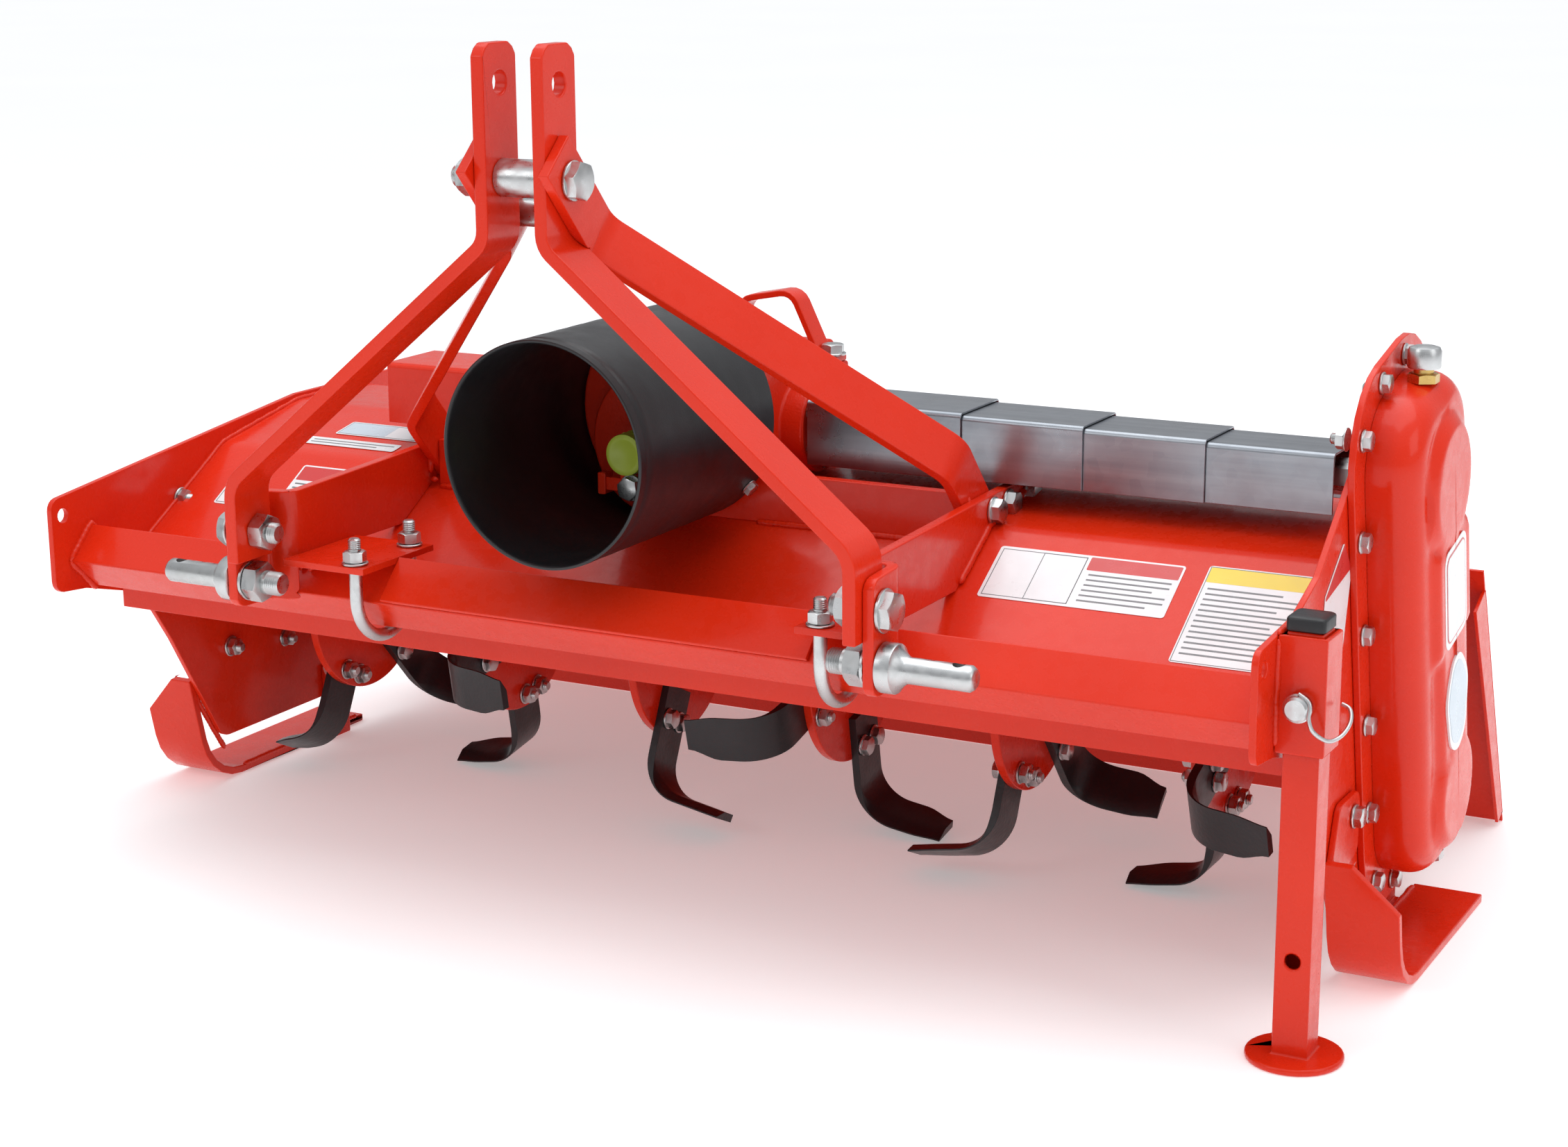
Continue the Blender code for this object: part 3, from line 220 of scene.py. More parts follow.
def moulded(name, dark, light, roughness, grain, depth=0.0005):
    """Moulded plastic or dull coating with a fine grain."""
    m = Nodes(name)
    m.set("Base Color", m.ramp(m.noise(11.0, 4.0), [(0.30, dark), (0.72, light)]))
    m.set("Roughness", m.spread(m.noise(36.0, 5.0, rough=0.65), roughness * 0.8, roughness * 1.25))
    m.bump([(m.noise(14.0, 2.0), 0.12, 0.003), (m.noise(grain, 2.0), 0.22, depth)])
    return m.mat


def printed(name, colour):
    """Gloss vinyl of a label: slight fading and a film that isn't quite flat."""
    m = Nodes(name, Coat_Weight=0.35, Coat_Roughness=0.10)
    faded = tuple(min(1.0, c * 0.86 + 0.02) for c in colour)
    m.set("Base Color", m.ramp(m.noise(18.0, 4.0), [(0.25, faded), (0.62, colour)]))
    m.set("Roughness", m.spread(m.noise(60.0, 3.0), 0.24, 0.36))
    m.bump([(m.noise(40.0, 2.0), 0.12, 0.0008)])
    return m.mat


RED = painted("gloss_red_paint", (0.68, 0.022, 0.0040), (0.76, 0.029, 0.0055), 0.26, 0.24)
CAST_RED = painted("cast_red_paint", (0.60, 0.019, 0.0040), (0.70, 0.026, 0.0055), 0.36, 0.15,
                   0.55)
ZINC = plated("zinc_plate", (0.54, 0.55, 0.55), (0.62, 0.63, 0.63), 0.30)
GALVANISED = galvanised()
PLASTIC = moulded("black_plastic", (0.008, 0.008, 0.009), (0.015, 0.015, 0.017), 0.38, 900.0)
TINE_BLACK = moulded("black_tine_paint", (0.008, 0.008, 0.009), (0.020, 0.020, 0.022), 0.36,
                     260.0, 0.0012)
LIME = moulded("lime_plastic", (0.42, 0.52, 0.045), (0.52, 0.62, 0.07), 0.42, 700.0)
BRASS = plated("brass", (0.62, 0.42, 0.14), (0.74, 0.52, 0.20), 0.26, tint=(0.45, 0.30, 0.09))
WHITE_FILM = printed("white_label", (0.86, 0.87, 0.88))
RED_FILM = printed("red_label", (0.62, 0.018, 0.016))
YELLOW_FILM = printed("yellow_label", (0.88, 0.66, 0.02))
GREY_FILM = printed("grey_label", (0.16, 0.16, 0.17))
BLUE_FILM = printed("pale_blue_label", (0.58, 0.68, 0.76))


# ---------------------------------------------------------------- mesh tools
def frame_of(way):
    """Rotation that turns +Z to a direction."""
    return way.normalized().to_track_quat("Z", "Y").to_matrix().to_4x4()


def skin(bm, rings, closed=True):
    """Faces between rings of points, and over both ends unless they are left open."""
    made = [[bm.verts.new(p) for p in ring] for ring in rings]
    count = len(made[0])
    for low, high in zip(made, made[1:]):
        for k in range(count):
            j = (k + 1) % count
            bm.faces.new((low[k], low[j], high[j], high[k]))
    if closed:
        bm.faces.new(made[0][::-1])
        bm.faces.new(made[-1])
    return made


def lathe(bm, start, way, profile, sides=32, hollow=False):
    """Turn (along, radius) points about the line through start; hollow closes the profile."""
    turn = Matrix.Translation(start) @ frame_of(way)
    rings = [[turn @ Vector((r * math.cos(a), r * math.sin(a), along))
              for a in (2 * math.pi * k / sides for k in range(sides))]
             for along, r in profile]
    made = skin(bm, rings, not hollow)
    if hollow:
        for k in range(sides):
            j = (k + 1) % sides
            bm.faces.new((made[-1][k], made[-1][j], made[0][j], made[0][k]))


def hexagon(bm, base, way, across, height, both_ends=False, turn=0.0):
    """A bolt head or nut, its corners chamfered by a cone as real ones are."""
    half, top = across / 2, across / 2 * 0.94
    place = Matrix.Translation(base) @ frame_of(way) @ Matrix.Rotation(turn, 4, "Z")
    angles = [2 * math.pi * k / 36 for k in range(36)]
    reach = [half / math.cos((a + math.pi / 6) % (math.pi / 3) - math.pi / 6) for a in angles]

    def ring(radii, heights):
        return [place @ Vector((r * math.cos(a), r * math.sin(a), h))
                for a, r, h in zip(angles, radii, heights)]

    fall = [(r - top) * 0.55 for r in reach]
    flat = [top] * 36
    rings = []
    if both_ends:
        rings.append(ring(flat, [0.0] * 36))
        rings.append(ring(reach, fall))
    else:
        rings.append(ring(reach, [0.0] * 36))
    rings.append(ring(reach, [height - f for f in fall]))
    rings.append(ring(flat, [height] * 36))
    skin(bm, rings)


def washer(bm, base, way, radius, thick, bore=0.3):
    edge = min(thick * 0.3, 0.0006)
    lathe(bm, base, way, [(0, radius * bore), (0, radius - edge), (edge, radius),
                          (thick - edge, radius), (thick, radius - edge), (thick, radius * bore)],
          24)


def thread(bm, base, way, radius, length, pitch=0.0015):
    """A threaded end with its point chamfered."""
    profile = [(0, radius * 0.86)]
    turns = max(2, int(length / pitch))
    for k in range(turns):
        profile += [((k + 0.5) * length / turns, radius),
                    ((k + 1) * length / turns, radius * 0.88)]
    profile += [(length + radius * 0.12, radius * 0.74)]
    lathe(bm, base, way, profile, 16)


def head(bm, base, way, size, turn=0.0):
    """Washer and hexagon head of a bolt whose thread is size across."""
    washer(bm, base, way, size * 1.02, size * 0.20)
    hexagon(bm, base + way * size * 0.20, way, size * 1.58, size * 0.66, turn=turn)


def nut(bm, base, way, size, stub=0.5, turn=0.0):
    """Washer, nut and the bolt's threaded end."""
    washer(bm, base, way, size * 1.05, size * 0.20)
    hexagon(bm, base + way * size * 0.20, way, size * 1.58, size * 0.80, True, turn)
    if stub:
        thread(bm, base + way * size * 0.98, way, size * 0.5, size * stub)


def tube(bm, points, radius, sides=14):
    """A round bar along points, its rings kept from twisting; radius may follow the share."""
    last = len(points) - 1
    rings = []
    side = None
    for k, here in enumerate(points):
        way = (points[min(k + 1, last)] - points[max(k - 1, 0)]).normalized()
        if side is None:
            side = way.orthogonal().normalized()
        side = (side - way * side.dot(way)).normalized()
        other = way.cross(side)
        r = radius(k / last) if callable(radius) else radius
        rings.append([here + (side * math.cos(a) + other * math.sin(a)) * r
                      for a in (2 * math.pi * j / sides for j in range(sides))])
    skin(bm, rings)


def smooth_path(points):
    """Catmull-Rom points through a few chosen ones."""
    steps = 8
    line = []
    last = len(points) - 1
    for k in range(last):
        p0, p1 = points[max(k - 1, 0)], points[k]
        p2, p3 = points[k + 1], points[min(k + 2, last)]
        for s in range(steps):
            t = s / steps
            line.append(0.5 * (2 * p1 + (p2 - p0) * t + (2 * p0 - 5 * p1 + 4 * p2 - p3) * t * t
                               + (3 * p1 - p0 - 3 * p2 + p3) * t ** 3))
    return line + [points[-1]]


def weld(bm, points, size=0.0032):
    """A welding bead: overlapping ripples along a polyline, tapered at both ends."""
    spacing = size * 0.42
    line = []
    for a, b in zip(points, points[1:]):
        steps = max(1, int((b - a).length / spacing))
        line += [a.lerp(b, k / steps) for k in range(steps)]
    line.append(points[-1])
    count = len(line) - 1

    def radius(share):
        k = share * count
        ends = min(1.0, 0.35 + min(k, count - k) * 0.25)
        ripple = 0.86 + 0.14 * abs(math.sin(k * 0.9))
        wander = 0.10 * noise.noise(line[int(k)] * 160)
        return size * ends * (ripple + wander)

    for k, p in enumerate(line):
        line[k] = p + Vector((noise.noise(p * 90), noise.noise(p * 90 + X * 7),
                              noise.noise(p * 90 + Y * 7))) * size * 0.16
    tube(bm, line, radius, 8)


def rounded(corners, radius, steps=6):
    """Round every corner of a closed outline of 2D points."""
    result = []
    count = len(corners)
    for k, corner in enumerate(corners):
        here = Vector(corner)
        back = (Vector(corners[k - 1]) - here).normalized()
        on = (Vector(corners[(k + 1) % count]) - here).normalized()
        half = back.angle(on) / 2
        centre = here + (back + on).normalized() * (radius / math.sin(half))
        first = here + back * (radius / math.tan(half)) - centre
        last = here + on * (radius / math.tan(half)) - centre
        sweep = first.angle_signed(last)
        result += [centre + Matrix.Rotation(-sweep * s / steps, 2) @ first
                   for s in range(steps + 1)]
    return result


def oblong(a0, b0, a1, b1, radius, steps=6):
    return rounded([(a0, b0), (a1, b0), (a1, b1), (a0, b1)], radius, steps)


def slab(bm, outline, origin, u, v, low, high, material_index=0):
    """A flat outline in the plane of u and v, from low to high along its normal."""
    normal = u.cross(v).normalized()
    rings = [[origin + u * a + v * b + normal * level for a, b in outline]
             for level in (low, high)]
    known = set(bm.faces)
    skin(bm, rings)
    for f in bm.faces:
        if f not in known:
            f.material_index = material_index


# ---------------------------------------------------------------- pieces
def finish_piece(bm, name, material, body, bevel=0.0, angle=38):
    """Make the mesh a piece of the object that rides on a body."""
    bmesh.ops.recalc_face_normals(bm, faces=bm.faces)
    mesh = bpy.data.meshes.new(name)
    bm.to_mesh(mesh)
    bm.free()
    for mat in (material if isinstance(material, (list, tuple)) else [material]):
        mesh.materials.append(mat)
    mesh.shade_smooth()
    mesh.set_sharp_from_angle(angle=math.radians(angle))
    obj = bpy.data.objects.new(name, mesh)
    bpy.context.scene.collection.objects.link(obj)
    if bevel:
        modifier = obj.modifiers.new("edges", "BEVEL")
        modifier.limit_method = "ANGLE"
        modifier.angle_limit = math.radians(angle)
        modifier.width = bevel
        modifier.segments = 2
        normals = obj.modifiers.new("normals", "WEIGHTED_NORMAL")
        normals.keep_sharp = True
    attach(obj, body)
    return obj


def finished(bm, node, suffix, material, angle=38):
    """Make the mesh the finished form of a CAD node, which it replaces."""
    obj = finish_piece(bm, node + suffix, material, BODY[node], angle=angle)
    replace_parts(obj, node)
    return obj


def polish(node, material, width, segments=2):
    """A finer copy of a CAD node: its sharp edges rounded and its bends shaded smooth."""
    bm = bmesh.new()
    bm.from_mesh(frame["nodes"][node].data)
    bmesh.ops.remove_doubles(bm, verts=bm.verts, dist=2e-6)
    bmesh.ops.dissolve_limit(bm, angle_limit=math.radians(0.5), verts=bm.verts, edges=bm.edges)
    edges = [e for e in bm.edges
             if e.is_manifold and e.calc_face_angle(0.0) > math.radians(34)]
    bmesh.ops.bevel(bm, geom=edges, offset=width, segments=segments, profile=0.5,
                    affect="EDGES", clamp_overlap=False, loop_slide=True)
    obj = finished(bm, node, "_finished", material, 34)
    obj.data.set_sharp_from_angle(angle=math.radians(50))
    normals = obj.modifiers.new("normals", "WEIGHTED_NORMAL")
    normals.keep_sharp = True


def hardware(bm, name, material=ZINC):
    """Make the mesh a group of fasteners or fittings on the frame."""
    finish_piece(bm, name, material, "frame")


def carve(obj, cutter_mesh):
    """Cut a closed shape out of a piece and keep the result as its mesh."""
    mesh = bpy.data.meshes.new("cutter")
    bmesh.ops.recalc_face_normals(cutter_mesh, faces=cutter_mesh.faces)
    cutter_mesh.to_mesh(mesh)
    cutter_mesh.free()
    cutter = bpy.data.objects.new("cutter", mesh)
    bpy.context.scene.collection.objects.link(cutter)
    modifier = obj.modifiers.new("carve", "BOOLEAN")
    modifier.operation = "DIFFERENCE"
    modifier.object = cutter
    bpy.context.view_layer.update()
    graph = bpy.context.evaluated_depsgraph_get()
    carved = bpy.data.meshes.new_from_object(obj.evaluated_get(graph))
    obj.modifiers.remove(modifier)
    obj.data = carved
    obj.data.set_sharp_from_angle(angle=math.radians(38))
    bpy.data.objects.remove(cutter, do_unlink=True)


# ---------------------------------------------------------------- painted steel
POLISHED = {
    "side_plate_left": 0.0010, "side_plate_right": 0.0010, "front_beam": 0.0016,
    "hood": 0.0008, "cross_plate": 0.0010, "hitch_arm_left": 0.0014,
    "hitch_arm_right": 0.0014, "clamp_plate_left": 0.0008, "clamp_plate_right": 0.0008,
    "clamp_angle": 0.0008, "mast_strap_left": 0.0014, "mast_strap_right": 0.0014,
    "rear_brace_left": 0.0012, "rear_brace_right": 0.0012, "lifting_loop": 0.0012,
    "left_shaft_cover": 0.0006, "cover_bracket": 0.0004, "drive_flange": 0.0010,
    "stand_sleeve": 0.0022, "stand_leg": 0.0022, "skid_left": 0.0012, "skid_right": 0.0012,
    "tailboard": 0.0006, "rotor_tube": 0.0010, "rotor_bearing": 0.0020,
}


def painted_steel():
    for node, width in POLISHED.items():
        polish(node, RED, width)
    polish("gearbox", CAST_RED, 0.0035, segments=3)
    for k in range(1, 5):
        polish("shaft_cover_%d" % k, GALVANISED, 0.0005)


# ---------------------------------------------------------------- side drive cover
TOP, FOOT = SHAFT.yz, ROTOR.yz
SPINE = (TOP - DOWN.yz * 0.030, FOOT + DOWN.yz * 0.060)     # the face closes towards this line
BOSS = 0.0085                      # how far the cover's pressed bosses stand out
INSET = 0.014                      # from the flange's edge to the cover's wall
ROUND = 0.026                      # radius between the cover's wall and face


def case_outline():
    """Outline of the cover, leaning from the cross shaft down to the rotor, as close points."""
    half = 0.097 - INSET
    a = TOP - DOWN.yz * (0.102 - INSET)
    b = FOOT + DOWN.yz * (0.124 - INSET)
    side = ACROSS.yz * half
    ring = rounded([a + side, a - side, b - side, b + side], half * 0.72, 10)
    dense = []
    for k, p in enumerate(ring):
        q = ring[(k + 1) % len(ring)]
        cuts = max(1, int((q - p).length / 0.006))
        dense += [p.lerp(q, c / cuts) for c in range(cuts)]
    return dense


def step(value, low, high):
    t = min(1.0, max(0.0, (value - low) / (high - low)))
    return t * t * (3 - 2 * t)


def pressed(here):
    """How far the cover's face stands out at a place: two bosses, a raised panel and a band."""
    upper = 1 - step((here - TOP).length, 0.048, 0.066)
    lower = 1 - step((here - FOOT - DOWN.yz * 0.040).length, 0.044, 0.062)
    along = (here - TOP).dot(DOWN.yz) - 0.099
    aside = abs((here - TOP).dot(ACROSS.yz))
    panel = (1 - step(abs(along), 0.044, 0.059)) * (1 - step(aside, 0.042, 0.058))
    band = (1 - step(abs(along - 0.045), 0.140, 0.155)) * (1 - step(aside, 0.030, 0.048))
    return max(upper, lower, panel * 0.94, band * 0.80) * BOSS


def nearest_on_spine(p):
    length = (SPINE[1] - SPINE[0]).length
    return SPINE[0] + DOWN.yz * min(max((p - SPINE[0]).dot(DOWN.yz), 0.0), length)


def drive_cover():
    low, high = face("drive_cover", 0, 0), face("drive_cover", 0, 1)
    flat = high - low - BOSS - 0.0006
    base = case_outline()

    def inward(p, reach):
        way = nearest_on_spine(p) - p
        return p + way.normalized() * min(reach, way.length * 0.999)

    rings = [[at(low, *p) for p in base], [at(low + flat - ROUND, *p) for p in base]]
    for k in range(1, 9):
        a = math.pi / 2 * k / 8
        rings.append([at(low + flat - ROUND * (1 - math.sin(a)),
                         *inward(p, ROUND * (1 - math.cos(a)))) for p in base])
    for k in range(1, 31):
        places = [inward(p, ROUND).lerp(nearest_on_spine(p), k / 30 * 0.985) for p in base]
        rings.append([at(low + flat + pressed(q), *q) for q in places])
    bm = bmesh.new()
    skin(bm, rings)
    finished(bm, "drive_cover", "_pressed", RED, 60)


# ---------------------------------------------------------------- turned and plated pieces
def run(node, axis):
    """The middle of a node's low end along an axis, its length that way, and half its height."""
    low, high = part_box(node)
    start = (low + high) / 2
    start[axis] = low[axis]
    return start, high[axis] - low[axis], (high.z - low.z) / 2


def rod(bm, node, edge, radius, sides, bore=0.0):
    """A rod or, with a bore, a sleeve along x, with its ends chamfered."""
    start, length, _ = run(node, 0)
    profile = [(0, radius - edge), (edge, radius), (length - edge, radius),
               (length, radius - edge)]
    if bore:
        profile = [(0, bore)] + profile + [(length, bore)]
    lathe(bm, start, X, profile, sides, hollow=bore > 0)


def lower_pins():
    for side, name in ((-1, "left"), (1, "right")):
        node = "lower_pin_" + name
        way = X * side
        low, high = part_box(node)
        begin = min((low - HITCH).dot(way), (high - HITCH).dot(way))
        r, tip = 0.011, (high - low).x
        shoulder, ear = 0.3415 - begin, 0.3278 - begin
        profile = [(0, r - 0.0022), (0.0014, r - 0.0008)]
        for k in range(6):
            profile += [(0.0018 + k * 0.0022, r - 0.0012), (0.0029 + k * 0.0022, r)]
        profile += [(ear - 0.0002, r), (ear, 0.0195), (ear + 0.0010, 0.0210),
                    (shoulder - 0.0012, 0.0210), (shoulder, 0.0204), (shoulder + 0.0016, 0.0168),
                    (shoulder + 0.0075, 0.0121), (shoulder + 0.0100, r), (tip - 0.0042, r),
                    (tip - 0.0010, r - 0.0022), (tip, r - 0.0036)]
        bm = bmesh.new()
        lathe(bm, HITCH + way * begin, way, profile, 48)
        obj = finished(bm, node, "_turned", ZINC)
        hole = bmesh.new()
        lathe(hole, HITCH + way * (begin + tip - 0.015) - Z * 0.03, Z,
              [(0, 0.0055), (0.06, 0.0055)], 24)
        carve(obj, hole)
        bm = bmesh.new()
        inner = 0.3172
        washer(bm, HITCH + way * inner, -way, 0.0185, 0.0030, 0.6)
        hexagon(bm, HITCH + way * (inner - 0.0030), -way, 0.0325, 0.0165, True, 0.3 * side)
        finish_piece(bm, "lower_pin_nut_" + name, ZINC, "frame")


def hitch_bolts():
    for side, name in ((-1, "left"), (1, "right")):
        way = X * side
        bm = bmesh.new()
        seat = at(side * 0.3280, 0, 0.047)
        washer(bm, seat, way, 0.0185, 0.0028, 0.5)
        hexagon(bm, seat + way * 0.0028, way, 0.0300, 0.0098, turn=0.2)
        lathe(bm, at(side * 0.304, 0, 0.047), way, [(0, 0.010), (0.0245, 0.010)], 24)
        back = at(side * 0.3048, 0, 0.047)
        hexagon(bm, back, -way, 0.0300, 0.0155, True, 0.1)
        thread(bm, back - way * 0.0155, -way, 0.0098, 0.0075, 0.002)
        finished(bm, "ear_bolt_" + name, "_turned", ZINC)


def mast_fasteners():
    place = middle("mast_bolt")
    reach = 0.0458
    bm = bmesh.new()
    for side in (-1, 1):
        seat = Vector((HITCH.x + side * reach, place.y, place.z))
        washer(bm, seat, X * side, 0.0170, 0.0024, 0.5)
        if side > 0:
            hexagon(bm, seat + X * 0.0024, X, 0.0295, 0.0098, turn=0.25)
        else:
            hexagon(bm, seat - X * 0.0024, -X, 0.0295, 0.0134, True, 0.1)
            thread(bm, seat - X * 0.0158, -X, 0.0098, 0.0075, 0.002)
    lathe(bm, Vector((HITCH.x - reach, place.y, place.z)), X, [(0, 0.010), (2 * reach, 0.010)], 24)
    finished(bm, "mast_bolt", "_turned", ZINC)
    for node, radius, bore in (("mast_spacer", 0.0160, 0.0106), ("brace_spacer", 0.0120, 0.0)):
        bm = bmesh.new()
        rod(bm, node, 0.0006, radius, 40, bore)
        finished(bm, node, "_turned", ZINC)


def u_bolts():
    radius = 0.006
    for name in ("left", "right"):
        node = "u_bolt_" + name
        low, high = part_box(node)
        x = (low.x + high.x) / 2
        near, far = low.y + 0.0115, high.y - 0.0115
        half, centre_y = (far - near) / 2, (near + far) / 2
        centre_z = low.z + radius + half
        line = [Vector((x, near, high.z - 0.010 - k * (high.z - 0.010 - centre_z) / 6))
                for k in range(6)]
        line += [Vector((x, centre_y - half * math.cos(a), centre_z - half * math.sin(a)))
                 for a in (math.pi * k / 32 for k in range(33))]
        line += [Vector((x, far, centre_z + k * (high.z - 0.010 - centre_z) / 6))
                 for k in range(1, 7)]
        bm = bmesh.new()
        tube(bm, line, radius, 18)
        seat = high.z - 0.024
        for y in (near, far):
            washer(bm, Vector((x, y, seat)), Z, 0.0122, 0.0022, 0.5)
            hexagon(bm, Vector((x, y, seat + 0.0022)), Z, 0.0188, 0.0102, True, 0.25)
            thread(bm, Vector((x, y, seat + 0.0124)), Z, 0.0060, 0.0108, 0.00175)
        finished(bm, node, "_bent", ZINC)


def tail_rod():
    bm = bmesh.new()
    rod(bm, "tail_rod", 0.0012, run("tail_rod", 0)[2], 24)
    finished(bm, "tail_rod", "_turned", ZINC)


def input_parts():
    start, length, r = run("input_shaft", 1)
    bm = bmesh.new()
    splines = 6
    rings = []
    for along, outer in ((0, r - 0.0015), (0.0015, r), (length, r)):
        ring = []
        for k in range(splines * 4):
            a = 2 * math.pi * (k + 0.5) / (splines * 4)
            deep = r - 0.0028 if k % 4 in (0, 1) else outer
            ring.append(start + Vector((deep * math.cos(a), along, deep * math.sin(a))))
        rings.append(ring)
    skin(bm, rings)
    finished(bm, "input_shaft", "_splined", ZINC, 25)
    start, length, r = run("input_cap", 1)
    bm = bmesh.new()
    lathe(bm, start, Y,
          [(0.0012, r * 0.62), (0, r * 0.70), (0, r - 0.0030), (0.0010, r - 0.0008),
           (0.0032, r - 0.0004), (length - 0.0030, r - 0.0004), (length - 0.0024, r),
           (length, r)], 48)
    slab(bm, oblong(-0.0065, -0.004, 0.0065, 0.0062, 0.0015),
         start + Vector((0, 0.010, r - 0.0068)), X, Z, -0.0012, 0.0012)
    finished(bm, "input_cap", "_moulded", LIME)
    start, length, _ = run("cross_shaft", 0)
    bm = bmesh.new()
    hexagon(bm, start, X, 0.0148 * math.sqrt(3), length, True)
    finished(bm, "cross_shaft", "_hexagon", ZINC, 25)


def input_shield():
    start, length, outer = run("input_shield", 1)
    inner = outer - 0.004
    profile = [(0.0010, inner + 0.0006), (0, inner + 0.0016), (0, outer - 0.0012),
               (0.0008, outer - 0.0002), (0.0080, outer), (0.0090, outer - 0.0008),
               (0.0120, outer - 0.0008), (0.0130, outer - 0.0001)]
    profile += [(0.013 + (length - 0.026) * k / 24,
                 outer - 0.0001 - 0.00025 * math.sin(k * 0.9) ** 2) for k in range(1, 25)]
    profile += [(length - 0.0010, outer - 0.0002), (length, outer - 0.0012),
                (length, inner + 0.0005)]
    profile += [(length - (length - 0.004) * k / 20, inner + 0.00025 * math.sin(k * 1.3) ** 2)
                for k in range(1, 21)]
    bm = bmesh.new()
    lathe(bm, start, Y, profile, 144, hollow=True)
    finished(bm, "input_shield", "_moulded", PLASTIC)


def stand_details():
    low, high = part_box("stand_cap")
    centre = (low + high) / 2
    half, height = (high.x - low.x) / 2, high.z - low.z
    bm = bmesh.new()
    rings = []
    for shrink, level in ((0.0012, 0.0), (0.0, 0.0012), (0.0, height - 0.0022),
                          (0.0006, height - 0.0009), (0.0022, height), (half * 0.5, height)):
        h = half - shrink
        rings.append([Vector((centre.x + a, centre.y + b, low.z + level))
                      for a, b in oblong(-h, -h, h, h, max(0.001, 0.0045 - shrink * 0.4), 4)])
    skin(bm, rings)
    finished(bm, "stand_cap", "_moulded", PLASTIC)
    start, length, _ = run("stand_pin", 1)
    bm = bmesh.new()
    lathe(bm, start, Y,
          [(0, 0.0082), (0.0016, 0.0102), (0.0030, 0.0105), (0.0128, 0.0105), (0.0137, 0.0098),
           (0.0138, 0.006), (length - 0.0008, 0.006), (length, 0.0052)], 36)
    finished(bm, "stand_pin", "_turned", ZINC)
    wire = [start + Vector(p) for p in (
        (0.001, 0.006, 0.012), (0.010, 0.004, 0.006), (0.011, 0.001, -0.006),
        (0.015, 0.002, -0.016), (0.024, 0.010, -0.024), (0.031, 0.022, -0.022),
        (0.034, 0.034, -0.014), (0.031, 0.042, -0.006), (0.024, 0.044, -0.003))]
    bm = bmesh.new()
    tube(bm, smooth_path(wire), 0.0017, 12)
    lathe(bm, start + Y * 0.0052, Y,
          [(0, 0.0107), (0.0006, 0.0118), (0.0026, 0.0118), (0.0032, 0.0107)], 32)
    finish_piece(bm, "stand_ring_clip", ZINC, "frame")


# ---------------------------------------------------------------- rotor
FLANGE_PITCH = 0.195
FIRST_FLANGE = -0.490
# Degrees back from straight down to each set's first left-hand and right-hand tine.
TINE_TURNS = ((-26, 42), (10, -80), (-115, -25), (-76, 10), (-24, 40), (0, -70))
TINE_REACH = 0.171
TINE_WIDE = 0.046
TINE_THICK = 0.008
FLANGE_THICK = 0.009
BLADE = 0.084
SHORT_BLADE = 0.052


def tine_line(side, reach):
    """Centre line of a tine in (axial, radial), with its bend as an arc."""
    near = side * (FLANGE_THICK / 2 + TINE_THICK / 2 - 0.0005)
    tip = TINE_REACH - TINE_THICK / 2
    corner = Vector((near, tip - 0.014))
    start, end = Vector((near, 0.047)), Vector((near + side * reach, tip))
    back, on = (start - corner).normalized(), (end - corner).normalized()
    half = back.angle(on) / 2
    radius = 0.040
    centre = corner + (back + on).normalized() * (radius / math.sin(half))
    first = corner + back * (radius / math.tan(half)) - centre
    last = corner + on * (radius / math.tan(half)) - centre
    sweep = first.angle_signed(last)
    arc = [centre + Matrix.Rotation(-sweep * k / 12, 2) @ first for k in range(13)]
    return [start.lerp(arc[0], k / 4) for k in range(4)] + arc + \
           [arc[-1].lerp(end, k / 8) for k in range(1, 9)]


def add_tine(bm, x, degrees, side, reach):
    """One curved tine: square shank, blade ground to an edge and cut off at an angle."""
    angle = math.radians(degrees)
    out = Vector((0, math.sin(angle), -math.cos(angle)))
    along = Vector((0, math.cos(angle), math.sin(angle)))     # the way its edge faces
    hub = at(x, ROTOR.y, ROTOR.z)
    line = tine_line(side, reach)
    count = len(line) - 1
    rings = []
    for k, p in enumerate(line):
        way = (line[min(k + 1, count)] - line[max(k - 1, 0)]).normalized()
        normal = Vector((way.y, -way.x)) * side
        ground = step(k, 5, 12)
        w, t = TINE_WIDE / 2, TINE_THICK / 2
        tip = step(k, count - 5, count)
        front = -w + 0.004 * tip
        back = w - 0.010 * tip
        section = [(back, -t), (back, t), (front + 0.013 * ground + 0.0002, t),
                   (front, -t + 0.0014 + (2 * t - 0.0014) * (1 - ground)), (front, -t)]
        rings.append([hub + X * (p.x + normal.x * n) + out * (p.y + normal.y * n) + along * s
                      for s, n in section])
    skin(bm, rings)
    return hub, out, along


